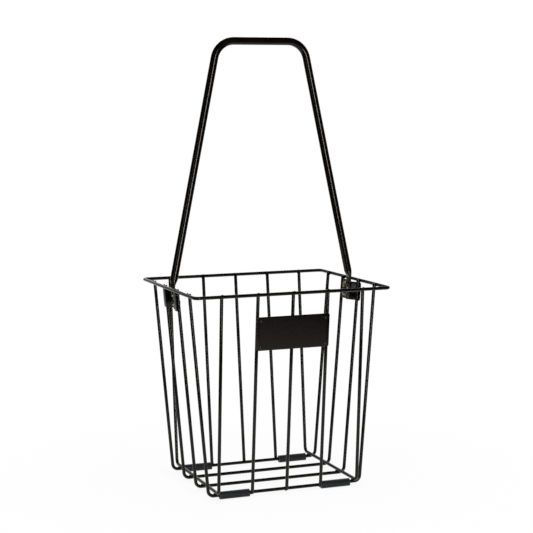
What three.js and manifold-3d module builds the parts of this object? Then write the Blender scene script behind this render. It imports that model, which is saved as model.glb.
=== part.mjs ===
// Tennis ball hopper: a welded basket of round wire with a tall bent handle.
//
// Balls are squeezed up through the gaps between the four runner wires of the floor. The
// runners and two cross wires are U-bent, three straight wires close the front and the back,
// and all of them end inside one rim wire. The handle is a single bent tube whose ends are
// pressed flat and bolted to two stamped brackets. Four push-on sleeves are the feet.
//
// Millimetres, +Z up, +X to the right and -Y to the front. The origin is on the ground,
// under the middle of the basket.

import * as THREE from 'three';
import { mergeVertices } from 'three/addons/utils/BufferGeometryUtils.js';
import ManifoldModule from 'manifold-3d';

// Wire stock. Touching wires are welded; a hairline gap stands for the weld line.
const WIRE_DIAMETER = 5.5;
const HAIRLINE = 0.3;
const TOUCHING = WIRE_DIAMETER + HAIRLINE;

// Basket. A ball of 65 to 69 mm squeezes through the gap that this pitch leaves.
const RUNNER_PITCH = 64.2;
const RUNNER_COUNT = 4;
const RUNNER_HEIGHT = 6.4;
const BASKET_DEPTH = 327.5;
const RIM_LENGTH = 331.6;
const RIM_WIDTH = 287;
const RIM_CORNER_RADIUS = 7;
const FLOOR_LENGTH = 265;
const CROSS_WIRE_X = 120.5;
const CROSS_WIRE_FOOT_Y = 111.5;
const FACE_WIRE_PITCH = 59.75;
const RUNNER_BEND_RADIUS = 9.5;
const CROSS_BEND_RADIUS = 9;
const WIRE_TIP_ABOVE_RIM = 1.8;
const WIRE_TIP_BELOW_RUNNER = 1.2;

// Handle tube: a straight grip, two wide bends, splayed legs and flat bolted ends.
const TUBE_DIAMETER = 12.7;
const GRIP_HEIGHT = 728.9;
const GRIP_CORNER_X = 75.1;
const GRIP_BEND_RADIUS = 34;
const LEG_SPLAY = THREE.MathUtils.degToRad(11.73);
const ANKLE_BEND_RADIUS = 40;
const TONGUE_THICKNESS = 3.2;
const TONGUE_WIDTH = 16;
const TONGUE_TIP_BELOW_RIM = 35.6;
const TONGUE_INBOARD = 2.8;
const FLATTENING_START = 2;
const FLATTENING_LENGTH = 13;

// Hat-section brackets, stamped from sheet and welded to the two middle wires of each side.
const SHEET = 1.6;
const BRACKET_HEIGHT = 31;
const BRACKET_TOP_BELOW_RIM = 3.2;
const BRACKET_HALF_WIDTH = 36;
const BRACKET_WALL_OUTER_Y = 22.5;
const BRACKET_WALL_INNER_Y = 15.5;
const BRACKET_BEND_RADIUS = 2.4;
const BRACKET_CORNER_RADIUS = 4;

// M5 fasteners, two at each end of the handle, one above the other.
const SCREW_DIAMETER = 5;
const SCREW_HOLE_RADIUS = 2.85;
const SCREW_BELOW_RIM = [10, 25];
const SCREW_TIP_PROUD = 0.8;
const HEAD_RADIUS = 4.5;
const HEAD_EDGE = 0.6;
const HEAD_DOME = 1.6;
const NUT_ACROSS_FLATS = 8;
const NUT_HEIGHT = 4;
const NUT_CHAMFER_HEIGHT = 1;
const WASHER_RADIUS = 5;
const WASHER_THICKNESS = 1;

// Push-on feet around the outer runners.
const FOOT_LENGTH = 50.5;
const FOOT_CENTRE_X = 88.5;
const FOOT_RADIUS = 5.8;
const FOOT_PAD_HALF_WIDTH = 3.6;
const FOOT_PAD_CORNER = 1.6;
const FOOT_SLIT = 0.8;
const FOOT_SLIT_ANGLE = THREE.MathUtils.degToRad(-14);

// Name plate across the three straight wires of the front, held by four rivets.
const PLATE_WIDTH = 124.4;
const PLATE_HEIGHT = 54.8;
const PLATE_CENTRE_BELOW_RIM = 63.4;
const PLATE_THICKNESS = 2;
const PLATE_EDGE_BEVEL = 0.4;
const PLATE_CORNER_RADIUS = 2.5;
const RIVET_X = 55.3;
const RIVET_Y = 21.2;
const RIVET_SHANK_RADIUS = 1.4;
const RIVET_HEAD_RADIUS = 2.6;
const RIVET_HEAD_HEIGHT = 1.1;
const RIVET_FLANGE_RADIUS = 4.2;
const RIVET_FLANGE_THICKNESS = 1;

// How finely round forms are divided. The tube's rings keep a least distance apart.
const WIRE_FACETS = 12;
const WIRE_BEND_STEPS = 6;
const TUBE_FACETS = 16;
const TUBE_BEND_STEPS = 10;
const TUBE_RING_SPACING = 0.4;
const TONGUE_TIP_ANGLES = [14, 35, 60, 90];
const FLATTENING_STEPS = 8;
const TURNED_FACETS = 24;
const HOLE_FACETS = 16;

// Sizes that follow from the ones above.
const WIRE_RADIUS = WIRE_DIAMETER / 2;
const TUBE_RADIUS = TUBE_DIAMETER / 2;
const RIM_HEIGHT = RUNNER_HEIGHT + BASKET_DEPTH;
const SIDE_FOOT_X = FLOOR_LENGTH / 2;
const SIDE_RIM_X = RIM_LENGTH / 2 - TOUCHING;
const SIDE_LEAN = Math.atan2(SIDE_RIM_X - SIDE_FOOT_X, BASKET_DEPTH);
const OUTER_RUNNER_Y = RUNNER_PITCH * (RUNNER_COUNT - 1) / 2;
const FACE_FOOT_Y = OUTER_RUNNER_Y + TOUCHING + HAIRLINE / 4;
const FACE_RIM_Y = RIM_WIDTH / 2 - TOUCHING - HAIRLINE / 4;
const FACE_LEAN = Math.atan2(FACE_RIM_Y - FACE_FOOT_Y, BASKET_DEPTH);
const PLATE_BACK = WIRE_RADIUS + HAIRLINE;

const { Manifold, Mesh: ManifoldMesh } = await loadManifold();

// Finishes

const POWDER_COAT = { color: 0x17181a, roughness: 0.32, metalness: 0.15 };
const FOOT_PLASTIC = { color: 0x24262c, roughness: 0.6, metalness: 0 };
const PLATE_PLASTIC = { color: 0x141414, roughness: 0.45, metalness: 0 };
const YELLOW_ZINC = { color: 0xd8c684, roughness: 0.3, metalness: 0.9 };
const RIVET_FINISH = { color: 0x1c1c1e, roughness: 0.4, metalness: 0.4 };

// Solids: closed meshes in and out of the boolean library

async function loadManifold() {
  const wasm = await ManifoldModule();
  wasm.setup();
  return wasm;
}

// Rounds positions to a tenth of a micron, so faces that meet share the same corners.
function toSolid(geometry) {
  const bare = new THREE.BufferGeometry();
  const rounded = Array.from(geometry.getAttribute('position').array, (v) => Math.round(v * 1e4) / 1e4);
  bare.setAttribute('position', new THREE.Float32BufferAttribute(rounded, 3));
  if (geometry.index) bare.setIndex(geometry.index);
  const merged = mergeVertices(bare, 1e-4);
  return new Manifold(new ManifoldMesh({
    numProp: 3,
    vertProperties: new Float32Array(merged.getAttribute('position').array),
    triVerts: new Uint32Array(merged.index.array),
  }));
}

function toGeometry(solid) {
  const { vertProperties, triVerts } = solid.getMesh();
  const geometry = new THREE.BufferGeometry();
  geometry.setAttribute('position', new THREE.BufferAttribute(vertProperties, 3));
  geometry.setIndex(new THREE.BufferAttribute(triVerts, 1));
  geometry.computeVertexNormals();
  return geometry;
}

// Bent paths

// A path of straight runs joined by round bends, as a wire or tube bender makes it. Its
// stations are the ends of the straights and even steps round each bend, and the curve
// parameter counts stations, so a sweep puts its rings where the form needs them.
class BentPath extends THREE.Curve {
  constructor(corners, bendRadii, bendSteps) {
    super();
    this.spans = [];
    this.stations = [0];
    this.reach = 0;
    let from = corners[0];
    for (let i = 1; i < corners.length - 1; i++) {
      const arriving = corners[i].clone().sub(corners[i - 1]).normalize();
      const leaving = corners[i + 1].clone().sub(corners[i]).normalize();
      const turn = arriving.angleTo(leaving);
      const radius = bendRadii[i - 1];
      const tangentLength = radius * Math.tan(turn / 2);
      const bendStart = corners[i].clone().addScaledVector(arriving, -tangentLength);
      this.addStraight(from, bendStart);
      this.addBend(bendStart, arriving, leaving, turn, radius, bendSteps);
      from = corners[i].clone().addScaledVector(leaving, tangentLength);
    }
    this.addStraight(from, corners[corners.length - 1]);
  }

  addStraight(from, to) {
    const direction = to.clone().sub(from);
    const length = direction.length();
    direction.normalize();
    this.addSpan(length, 1, (s) => ({
      point: from.clone().addScaledVector(direction, s),
      tangent: direction.clone(),
    }));
  }

  addBend(start, arriving, leaving, turn, radius, steps) {
    const inward = leaving.clone().addScaledVector(arriving, -Math.cos(turn)).normalize();
    const centre = start.clone().addScaledVector(inward, radius);
    this.addSpan(turn * radius, steps, (s) => {
      const cos = Math.cos(s / radius);
      const sin = Math.sin(s / radius);
      const fromCentre = arriving.clone().multiplyScalar(sin).addScaledVector(inward, -cos);
      return {
        point: centre.clone().addScaledVector(fromCentre, radius),
        tangent: inward.clone().multiplyScalar(sin).addScaledVector(arriving, cos),
      };
    });
  }

  addSpan(length, steps, locate) {
    this.spans.push({ start: this.reach, length, locate });
    for (let i = 1; i <= steps; i++) this.stations.push(this.reach + length * i / steps);
    this.reach += length;
  }

  locate(distance) {
    const span = this.spans.findLast((s) => s.start <= distance) ?? this.spans[0];
    return span.locate(Math.min(distance - span.start, span.length));
  }

  distanceAt(t) {
    const index = Math.min(t * this.steps, this.steps - 1e-9);
    const low = Math.floor(index + 1e-9);
    return THREE.MathUtils.lerp(this.stations[low], this.stations[Math.min(low + 1, this.steps)],
      Math.max(index - low, 0));
  }

  get steps() {
    return this.stations.length - 1;
  }

  getPoint(t, target = new THREE.Vector3()) {
    return target.copy(this.locate(this.distanceAt(t)).point);
  }

  getTangent(t, target = new THREE.Vector3()) {
    return target.copy(this.locate(this.distanceAt(t)).tangent);
  }

  getUtoTmapping(u) {
    return u;
  }
}

function roundSection(radius) {
  return new THREE.Shape().absarc(0, 0, radius, 0, 2 * Math.PI, false);
}

// Round stock swept along a bent path.
function sweepWire(path) {
  return new THREE.ExtrudeGeometry(roundSection(WIRE_RADIUS), {
    extrudePath: path,
    steps: path.steps,
    curveSegments: WIRE_FACETS / 2,
  });
}

// Groups that stand in the lean of a basket side

// A frame whose X runs across a basket side, Y up its slope and Z straight out of it. Its
// origin is on the side's wire centrelines, at the height of the rim.
function leaningFrame(across, up, origin) {
  const frame = new THREE.Group();
  const outward = across.clone().cross(up);
  frame.quaternion.setFromRotationMatrix(new THREE.Matrix4().makeBasis(across, up, outward));
  frame.position.copy(origin);
  return frame;
}

function endFrame() {
  return leaningFrame(
    new THREE.Vector3(0, 1, 0),
    new THREE.Vector3(Math.sin(SIDE_LEAN), 0, Math.cos(SIDE_LEAN)),
    new THREE.Vector3(SIDE_RIM_X, 0, RIM_HEIGHT),
  );
}

function faceFrame() {
  return leaningFrame(
    new THREE.Vector3(1, 0, 0),
    new THREE.Vector3(0, -Math.sin(FACE_LEAN), Math.cos(FACE_LEAN)),
    new THREE.Vector3(0, -FACE_RIM_Y, RIM_HEIGHT),
  );
}

// The places of the right and the left end's frames.
function endMatrices() {
  const right = endFrame();
  right.updateMatrix();
  const left = new THREE.Matrix4().makeRotationZ(Math.PI).multiply(right.matrix);
  return [right.matrix, left];
}

// The basket is the same from the back as from the front, and from the left as from the right.
function turnedHalfway(frame) {
  const turned = new THREE.Group();
  turned.rotation.z = Math.PI;
  turned.add(frame);
  return turned;
}

function piece(name, geometry, finish) {
  const mesh = new THREE.Mesh(geometry, new THREE.MeshStandardMaterial(finish));
  mesh.name = name;
  return mesh;
}

// Basket wires

// One closed ring, made as two halves that meet in the middle of the front and the back.
function rimWire() {
  const x = RIM_LENGTH / 2;
  const y = RIM_WIDTH / 2;
  const corners = [[0, -y], [x, -y], [x, y], [0, y]].map(([cx, cy]) => new THREE.Vector3(cx, cy, 0));
  const path = new BentPath(corners, [RIM_CORNER_RADIUS, RIM_CORNER_RADIUS], WIRE_BEND_STEPS);
  const rightHalf = sweepWire(path);
  const leftHalf = rightHalf.clone().applyMatrix4(new THREE.Matrix4().makeRotationZ(Math.PI));
  return toGeometry(toSolid(rightHalf).add(toSolid(leftHalf)));
}

// A U seen along its plane: up one side of the basket, across the floor and up the other.
function bentUWire(footReach, rimReach, floorLift, bendRadius, toPoint) {
  const lean = (rimReach - footReach) / BASKET_DEPTH;
  const top = BASKET_DEPTH + WIRE_TIP_ABOVE_RIM;
  const outline = [
    [-(footReach + lean * top), top],
    [-(footReach + lean * floorLift), floorLift],
    [footReach + lean * floorLift, floorLift],
    [footReach + lean * top, top],
  ];
  return sweepWire(new BentPath(outline.map(toPoint), [bendRadius, bendRadius], WIRE_BEND_STEPS));
}

function runnerWire() {
  return bentUWire(SIDE_FOOT_X, SIDE_RIM_X, 0, RUNNER_BEND_RADIUS,
    ([reach, height]) => new THREE.Vector3(reach, 0, height));
}

function crossWire() {
  return bentUWire(CROSS_WIRE_FOOT_Y, FACE_RIM_Y, TOUCHING, CROSS_BEND_RADIUS,
    ([reach, height]) => new THREE.Vector3(0, reach, height));
}

// A straight wire of the front or back, from just under the outer runner to above the rim.
function faceWire() {
  const above = WIRE_TIP_ABOVE_RIM / Math.cos(FACE_LEAN);
  const below = (BASKET_DEPTH + WIRE_TIP_BELOW_RUNNER) / Math.cos(FACE_LEAN);
  return new THREE.CylinderGeometry(WIRE_RADIUS, WIRE_RADIUS, above + below, WIRE_FACETS)
    .translate(0, (above - below) / 2, 0);
}

// Handle

// The centreline lies in the XZ plane, from the left tongue's tip to the right one's.
function handlePath() {
  const tongueLine = tongueLineAt(0);
  const legTan = Math.tan(LEG_SPLAY);
  const leanTan = Math.tan(SIDE_LEAN);
  const gripZ = RUNNER_HEIGHT + GRIP_HEIGHT;
  const tongueAtGrip = tongueLine.x + leanTan * (gripZ - tongueLine.z);
  const ankleDrop = (tongueAtGrip - GRIP_CORNER_X) / (legTan + leanTan);
  const ankle = new THREE.Vector3(GRIP_CORNER_X + legTan * ankleDrop, 0, gripZ - ankleDrop);
  const tip = tongueLineAt(-TONGUE_TIP_BELOW_RIM);
  const right = [new THREE.Vector3(GRIP_CORNER_X, 0, gripZ), ankle, tip];
  const left = right.map((p) => new THREE.Vector3(-p.x, 0, p.z)).reverse();
  return new BentPath([...left, ...right],
    [ANKLE_BEND_RADIUS, GRIP_BEND_RADIUS, GRIP_BEND_RADIUS, ANKLE_BEND_RADIUS], TUBE_BEND_STEPS);
}

// A point on the right tongue's centreline, a distance up the slope from the rim.
function tongueLineAt(upSlope) {
  return new THREE.Vector3(-TONGUE_INBOARD, 0, 0)
    .applyAxisAngle(new THREE.Vector3(0, 1, 0), SIDE_LEAN)
    .add(new THREE.Vector3(SIDE_RIM_X + upSlope * Math.sin(SIDE_LEAN), 0,
      RIM_HEIGHT + upSlope * Math.cos(SIDE_LEAN)));
}

// Half thickness and half width of the tube at a distance from its nearer end: a round
// tube, pressed between dies into a tongue, whose tip is cut to a half circle.
function tubeSection(fromEnd) {
  const tipRadius = TONGUE_WIDTH / 2;
  const flatEnd = TONGUE_TIP_BELOW_RIM + FLATTENING_START;
  const round = THREE.MathUtils.smoothstep(fromEnd, flatEnd, flatEnd + FLATTENING_LENGTH);
  const thick = THREE.MathUtils.lerp(TONGUE_THICKNESS / 2, TUBE_RADIUS, round);
  let wide = THREE.MathUtils.lerp(tipRadius, TUBE_RADIUS, round);
  if (fromEnd < tipRadius) wide = Math.sqrt(tipRadius ** 2 - (tipRadius - fromEnd) ** 2);
  return { thick, wide: Math.max(wide, thick) };
}

// The section is a pair of half circles joined by flats, which is a circle while both
// halves are as wide as they are thick.
function tubeRing({ point, tangent }, { thick, wide }) {
  const acrossX = -tangent.z;
  const acrossZ = tangent.x;
  const ring = [];
  for (let i = 0; i < TUBE_FACETS; i++) {
    const angle = 2 * Math.PI * (i + 0.5) / TUBE_FACETS;
    const side = Math.sign(Math.sin(angle));
    const out = thick * Math.cos(angle);
    const y = thick * Math.sin(angle) + side * (wide - thick);
    ring.push(new THREE.Vector3(point.x + out * acrossX, y, point.z + out * acrossZ));
  }
  return ring;
}

// Skin over a row of rings with the same number of corners, closed by a fan at each end.
function loft(rings) {
  const count = rings[0].length;
  const corners = rings.flat();
  const index = [];
  for (let r = 0; r < rings.length - 1; r++) {
    for (let i = 0; i < count; i++) {
      const a = r * count + i;
      const b = r * count + (i + 1) % count;
      index.push(a, a + count, b, b, a + count, b + count);
    }
  }
  const last = (rings.length - 1) * count;
  for (let i = 1; i < count - 1; i++) {
    index.push(0, i, i + 1);
    index.push(last, last + i + 1, last + i);
  }
  const geometry = new THREE.BufferGeometry().setFromPoints(corners);
  geometry.setIndex(index);
  return geometry;
}

// Distances from one end at which the tube changes its section: round the tip's half circle,
// and in even steps along the flattened length.
function tongueStations() {
  const tip = TONGUE_TIP_ANGLES.map((angle) => TONGUE_WIDTH / 2
    * (1 - Math.cos(THREE.MathUtils.degToRad(angle))));
  const flatEnd = TONGUE_TIP_BELOW_RIM + FLATTENING_START;
  const pressed = Array.from({ length: FLATTENING_STEPS + 1 },
    (_, i) => flatEnd + FLATTENING_LENGTH * i / FLATTENING_STEPS);
  return [...tip, ...pressed];
}

function handleTube() {
  const path = handlePath();
  const ends = tongueStations();
  const distances = [...ends, ...path.stations.slice(1, -1), ...ends.map((d) => path.reach - d)];
  distances.sort((a, b) => a - b);
  const apart = distances.filter((d, i) => i === 0 || d - distances[i - 1] > TUBE_RING_SPACING);
  const rings = apart.map((d) => tubeRing(path.locate(d), tubeSection(Math.min(d, path.reach - d))));
  let tube = toSolid(loft(rings));
  for (const placed of endMatrices()) {
    for (const below of SCREW_BELOW_RIM) {
      const drill = screwDrill().translate(0, -below, 0).applyMatrix4(placed);
      tube = tube.subtract(toSolid(drill));
    }
  }
  return toGeometry(tube);
}

// Brackets

// A cutter along Z for one screw hole.
function screwDrill() {
  return new THREE.CylinderGeometry(SCREW_HOLE_RADIUS, SCREW_HOLE_RADIUS, 2 * TONGUE_WIDTH, HOLE_FACETS)
    .rotateX(Math.PI / 2);
}

// Outline of bent sheet: both faces of a centreline whose corners are bent to a radius.
function sheetOutline(points, thickness, bendRadius) {
  const bends = [];
  for (let i = 1; i < points.length - 1; i++) {
    const arriving = points[i].clone().sub(points[i - 1]).normalize();
    const leaving = points[i + 1].clone().sub(points[i]).normalize();
    const turn = Math.atan2(arriving.cross(leaving), arriving.dot(leaving));
    const left = new THREE.Vector2(-arriving.y, arriving.x).multiplyScalar(Math.sign(turn));
    const start = points[i].clone().addScaledVector(arriving, -bendRadius * Math.tan(Math.abs(turn) / 2));
    const centre = start.clone().addScaledVector(left, bendRadius);
    const startAngle = Math.atan2(-left.y, -left.x);
    bends.push({ centre, startAngle, turn });
  }
  const endOffset = (from, to, side) => {
    const along = to.clone().sub(from).normalize();
    return new THREE.Vector2(-along.y, along.x).multiplyScalar(side * thickness / 2);
  };
  const first = points[0];
  const last = points[points.length - 1];
  const shape = new THREE.Shape();
  const start = first.clone().add(endOffset(first, points[1], -1));
  shape.moveTo(start.x, start.y);
  for (const { centre, startAngle, turn } of bends) {
    const radius = bendRadius + Math.sign(turn) * thickness / 2;
    shape.absarc(centre.x, centre.y, radius, startAngle, startAngle + turn, turn < 0);
  }
  for (const side of [-1, 1]) {
    const corner = last.clone().add(endOffset(points[points.length - 2], last, side));
    shape.lineTo(corner.x, corner.y);
  }
  for (const { centre, startAngle, turn } of bends.reverse()) {
    const radius = bendRadius - Math.sign(turn) * thickness / 2;
    shape.absarc(centre.x, centre.y, radius, startAngle + turn, startAngle, turn > 0);
  }
  const close = first.clone().add(endOffset(first, points[1], 1));
  shape.lineTo(close.x, close.y);
  return shape;
}

function roundedRectangle(width, height, radius) {
  const x = width / 2 - radius;
  const y = height / 2 - radius;
  return new THREE.Shape()
    .absarc(x, y, radius, 0, Math.PI / 2, false)
    .absarc(-x, y, radius, Math.PI / 2, Math.PI, false)
    .absarc(-x, -y, radius, Math.PI, 1.5 * Math.PI, false)
    .absarc(x, -y, radius, 1.5 * Math.PI, 2 * Math.PI, false);
}

// Lips outside the wires, sloping walls and a web that the tongue lies against. It is drawn
// across the basket side and outwards, and extruded down the slope from its top edge.
function bracket() {
  const lip = WIRE_RADIUS + HAIRLINE + SHEET / 2;
  const web = -(TONGUE_INBOARD + TONGUE_THICKNESS / 2 + HAIRLINE + SHEET / 2);
  const half = [
    new THREE.Vector2(BRACKET_WALL_INNER_Y, web),
    new THREE.Vector2(BRACKET_WALL_OUTER_Y, lip),
    new THREE.Vector2(BRACKET_HALF_WIDTH, lip),
  ];
  const mirrored = half.map((p) => new THREE.Vector2(-p.x, p.y)).reverse();
  const hat = new THREE.ExtrudeGeometry(
    sheetOutline([...mirrored, ...half], SHEET, BRACKET_BEND_RADIUS),
    { depth: BRACKET_HEIGHT, bevelEnabled: false, curveSegments: 4 })
    .rotateX(Math.PI / 2)
    .translate(0, -BRACKET_TOP_BELOW_RIM, 0);
  const blank = new THREE.ExtrudeGeometry(
    roundedRectangle(2 * BRACKET_HALF_WIDTH, BRACKET_HEIGHT, BRACKET_CORNER_RADIUS),
    { depth: BRACKET_HALF_WIDTH, bevelEnabled: false, curveSegments: 5 })
    .translate(0, -BRACKET_TOP_BELOW_RIM - BRACKET_HEIGHT / 2, -BRACKET_HALF_WIDTH / 2);
  let solid = toSolid(hat).intersect(toSolid(blank));
  for (const below of SCREW_BELOW_RIM) {
    solid = solid.subtract(toSolid(screwDrill().translate(0, -below, 0)));
  }
  return toGeometry(solid);
}

// Fasteners, drawn along +Z from z = 0

// A solid turned about Z from corners given as radius and height.
function turnedSolid(outline) {
  const corners = outline.map(([radius, height]) => new THREE.Vector2(radius, height));
  return toSolid(new THREE.LatheGeometry(corners, TURNED_FACETS).rotateX(Math.PI / 2));
}

function cylinderAlongZ(radius, from, to) {
  return toSolid(new THREE.CylinderGeometry(radius, radius, to - from, HOLE_FACETS)
    .rotateX(Math.PI / 2)
    .translate(0, 0, (from + to) / 2));
}

// Corners of a dome's outline, as radius and height, from its rim to just short of the axis.
function domeOutline(radius, base, rise) {
  return new THREE.EllipseCurve(0, base, radius, rise, 0, Math.PI / 2)
    .getPoints(4)
    .slice(0, -1)
    .map(({ x, y }) => [x, y]);
}

// A machine screw with a low domed head.
function screw(length) {
  return toGeometry(turnedSolid([
    [0, -length],
    [SCREW_DIAMETER / 2, -length],
    [SCREW_DIAMETER / 2, 0],
    [HEAD_RADIUS, 0],
    ...domeOutline(HEAD_RADIUS, HEAD_EDGE, HEAD_DOME),
    [0, HEAD_EDGE + HEAD_DOME],
  ]));
}

// A hexagon nut whose corners are turned down on both faces.
function nut() {
  const flat = NUT_ACROSS_FLATS / 2;
  const corner = flat / Math.cos(Math.PI / 6);
  const outside = corner + NUT_CHAMFER_HEIGHT;
  const prism = new THREE.CylinderGeometry(corner, corner, NUT_HEIGHT, 6)
    .rotateX(Math.PI / 2)
    .translate(0, 0, NUT_HEIGHT / 2);
  const turned = turnedSolid([
    [0, 0],
    [flat, 0],
    [outside, NUT_CHAMFER_HEIGHT],
    [outside, NUT_HEIGHT - NUT_CHAMFER_HEIGHT],
    [flat, NUT_HEIGHT],
    [0, NUT_HEIGHT],
  ]);
  return toGeometry(toSolid(prism).intersect(turned)
    .subtract(cylinderAlongZ(SCREW_HOLE_RADIUS, -NUT_HEIGHT, 2 * NUT_HEIGHT)));
}

function washer() {
  return toGeometry(turnedSolid([
    [SCREW_HOLE_RADIUS, 0],
    [WASHER_RADIUS, 0],
    [WASHER_RADIUS, WASHER_THICKNESS],
    [SCREW_HOLE_RADIUS, WASHER_THICKNESS],
    [SCREW_HOLE_RADIUS, 0],
  ]));
}

// Screw, washer and nut through the tongue and the bracket, stacked from the outside in.
function addFasteners(frame, side) {
  const underHead = -TONGUE_INBOARD + TONGUE_THICKNESS / 2 + HAIRLINE;
  const washerOuter = -TONGUE_INBOARD - TONGUE_THICKNESS / 2 - HAIRLINE - SHEET - HAIRLINE;
  const nutOuter = washerOuter - WASHER_THICKNESS - HAIRLINE;
  const tip = nutOuter - NUT_HEIGHT - SCREW_TIP_PROUD;
  SCREW_BELOW_RIM.forEach((below, i) => {
    const level = ['upper', 'lower'][i];
    const stack = [
      [`screw_${side}_${level}`, screw(underHead - tip), underHead],
      [`washer_${side}_${level}`, washer(), washerOuter - WASHER_THICKNESS],
      [`nut_${side}_${level}`, nut(), nutOuter - NUT_HEIGHT],
    ];
    for (const [name, geometry, outward] of stack) {
      const fastener = piece(name, geometry, YELLOW_ZINC);
      fastener.position.set(0, -below, outward);
      frame.add(fastener);
    }
  });
}

// Feet

// A sleeve round a runner, drawn with Y up about the wire's centre and X away from the
// basket's middle. It has a round back, a flat pad to stand on and a slit that lets it be
// pushed over the wire.
function footSleeve() {
  const bore = WIRE_RADIUS + HAIRLINE;
  const pad = new THREE.Vector2(FOOT_PAD_HALF_WIDTH, -RUNNER_HEIGHT);
  const outline = new THREE.Shape()
    .absarc(0, 0, FOOT_RADIUS, 0, Math.PI, false)
    .lineTo(-FOOT_RADIUS, -FOOT_PAD_CORNER)
    .quadraticCurveTo(-FOOT_RADIUS, pad.y, -pad.x, pad.y)
    .lineTo(pad.x, pad.y)
    .quadraticCurveTo(FOOT_RADIUS, pad.y, FOOT_RADIUS, -FOOT_PAD_CORNER)
    .lineTo(FOOT_RADIUS, 0);
  outline.holes.push(new THREE.Path().absarc(0, 0, bore, 0, 2 * Math.PI, true));
  const sleeve = new THREE.ExtrudeGeometry(outline,
    { depth: FOOT_LENGTH, bevelEnabled: false, curveSegments: 10 })
    .translate(0, 0, -FOOT_LENGTH / 2);
  const slit = new THREE.BoxGeometry(2 * FOOT_RADIUS, FOOT_SLIT, 2 * FOOT_LENGTH)
    .translate(FOOT_RADIUS, 0, 0)
    .rotateZ(FOOT_SLIT_ANGLE);
  return toGeometry(toSolid(sleeve).subtract(toSolid(slit)));
}

// Name plate

function namePlate() {
  const outline = roundedRectangle(PLATE_WIDTH, PLATE_HEIGHT, PLATE_CORNER_RADIUS);
  const plate = new THREE.ExtrudeGeometry(outline, {
    depth: PLATE_THICKNESS - 2 * PLATE_EDGE_BEVEL,
    bevelThickness: PLATE_EDGE_BEVEL,
    bevelSize: PLATE_EDGE_BEVEL,
    bevelOffset: -PLATE_EDGE_BEVEL,
    bevelSegments: 1,
    curveSegments: 4,
  }).translate(0, 0, PLATE_EDGE_BEVEL);
  let solid = toSolid(plate);
  for (const [x, y] of rivetPlaces()) {
    const hole = cylinderAlongZ(RIVET_SHANK_RADIUS + HAIRLINE, -PLATE_THICKNESS, 2 * PLATE_THICKNESS);
    solid = solid.subtract(hole.translate([x, y, 0]));
  }
  return toGeometry(solid);
}

function rivetPlaces() {
  return [[-RIVET_X, RIVET_Y], [RIVET_X, RIVET_Y], [-RIVET_X, -RIVET_Y], [RIVET_X, -RIVET_Y]];
}

// A domed head in front of the plate, a shank beside the wire and a wide flange behind it,
// drawn along +Z from the wires' centreline plane.
function rivet() {
  const headSeat = PLATE_BACK + PLATE_THICKNESS + HAIRLINE;
  const flangeFace = -WIRE_RADIUS - HAIRLINE;
  return toGeometry(turnedSolid([
    [0, flangeFace - RIVET_FLANGE_THICKNESS],
    [RIVET_FLANGE_RADIUS, flangeFace - RIVET_FLANGE_THICKNESS],
    [RIVET_FLANGE_RADIUS, flangeFace],
    [RIVET_SHANK_RADIUS, flangeFace],
    [RIVET_SHANK_RADIUS, headSeat],
    ...domeOutline(RIVET_HEAD_RADIUS, headSeat, RIVET_HEAD_HEIGHT),
    [0, headSeat + RIVET_HEAD_HEIGHT],
  ]));
}

// Assembly

function addBasketWires(hopper) {
  const rim = piece('top_rim', rimWire(), POWDER_COAT);
  rim.position.z = RIM_HEIGHT;
  hopper.add(rim);
  for (let i = 0; i < RUNNER_COUNT; i++) {
    const runner = piece(`runner_wire_${i + 1}`, runnerWire(), POWDER_COAT);
    runner.position.set(0, -OUTER_RUNNER_Y + i * RUNNER_PITCH, RUNNER_HEIGHT);
    hopper.add(runner);
  }
  for (const [name, x] of [['cross_wire_left', -CROSS_WIRE_X], ['cross_wire_right', CROSS_WIRE_X]]) {
    const cross = piece(name, crossWire(), POWDER_COAT);
    cross.position.set(x, 0, RUNNER_HEIGHT);
    hopper.add(cross);
  }
}

function addFaceWires(frame, face, order) {
  order.forEach((place, i) => {
    const wire = piece(`${face}_wire_${place}`, faceWire(), POWDER_COAT);
    wire.position.x = (i - 1) * FACE_WIRE_PITCH;
    frame.add(wire);
  });
}

function addNamePlate(front) {
  const plate = piece('name_plate', namePlate(), PLATE_PLASTIC);
  plate.position.set(0, -PLATE_CENTRE_BELOW_RIM, PLATE_BACK);
  front.add(plate);
  rivetPlaces().forEach(([x, y], i) => {
    const fixing = piece(`plate_rivet_${i + 1}`, rivet(), RIVET_FINISH);
    fixing.position.set(x, y - PLATE_CENTRE_BELOW_RIM, 0);
    front.add(fixing);
  });
}

function addFeet(hopper) {
  for (const [face, ySign] of [['front', -1], ['back', 1]]) {
    for (const [side, xSign] of [['left', -1], ['right', 1]]) {
      const foot = piece(`foot_${face}_${side}`, footSleeve(), FOOT_PLASTIC);
      const across = new THREE.Vector3(0, ySign, 0);
      const up = new THREE.Vector3(0, 0, 1);
      foot.quaternion.setFromRotationMatrix(
        new THREE.Matrix4().makeBasis(across, up, across.clone().cross(up)));
      foot.position.set(xSign * FOOT_CENTRE_X, ySign * OUTER_RUNNER_Y, RUNNER_HEIGHT);
      hopper.add(foot);
    }
  }
}

const hopper = new THREE.Group();
addBasketWires(hopper);

const front = faceFrame();
const back = faceFrame();
addFaceWires(front, 'front', ['left', 'middle', 'right']);
addFaceWires(back, 'back', ['right', 'middle', 'left']);
addNamePlate(front);
hopper.add(front, turnedHalfway(back));

hopper.add(piece('handle_tube', handleTube(), POWDER_COAT));

const rightEnd = endFrame();
const leftEnd = endFrame();
for (const [frame, side] of [[rightEnd, 'right'], [leftEnd, 'left']]) {
  frame.add(piece(`bracket_${side}`, bracket(), POWDER_COAT));
  addFasteners(frame, side);
}
hopper.add(rightEnd, turnedHalfway(leftEnd));

addFeet(hopper);

export default hopper;
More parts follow.
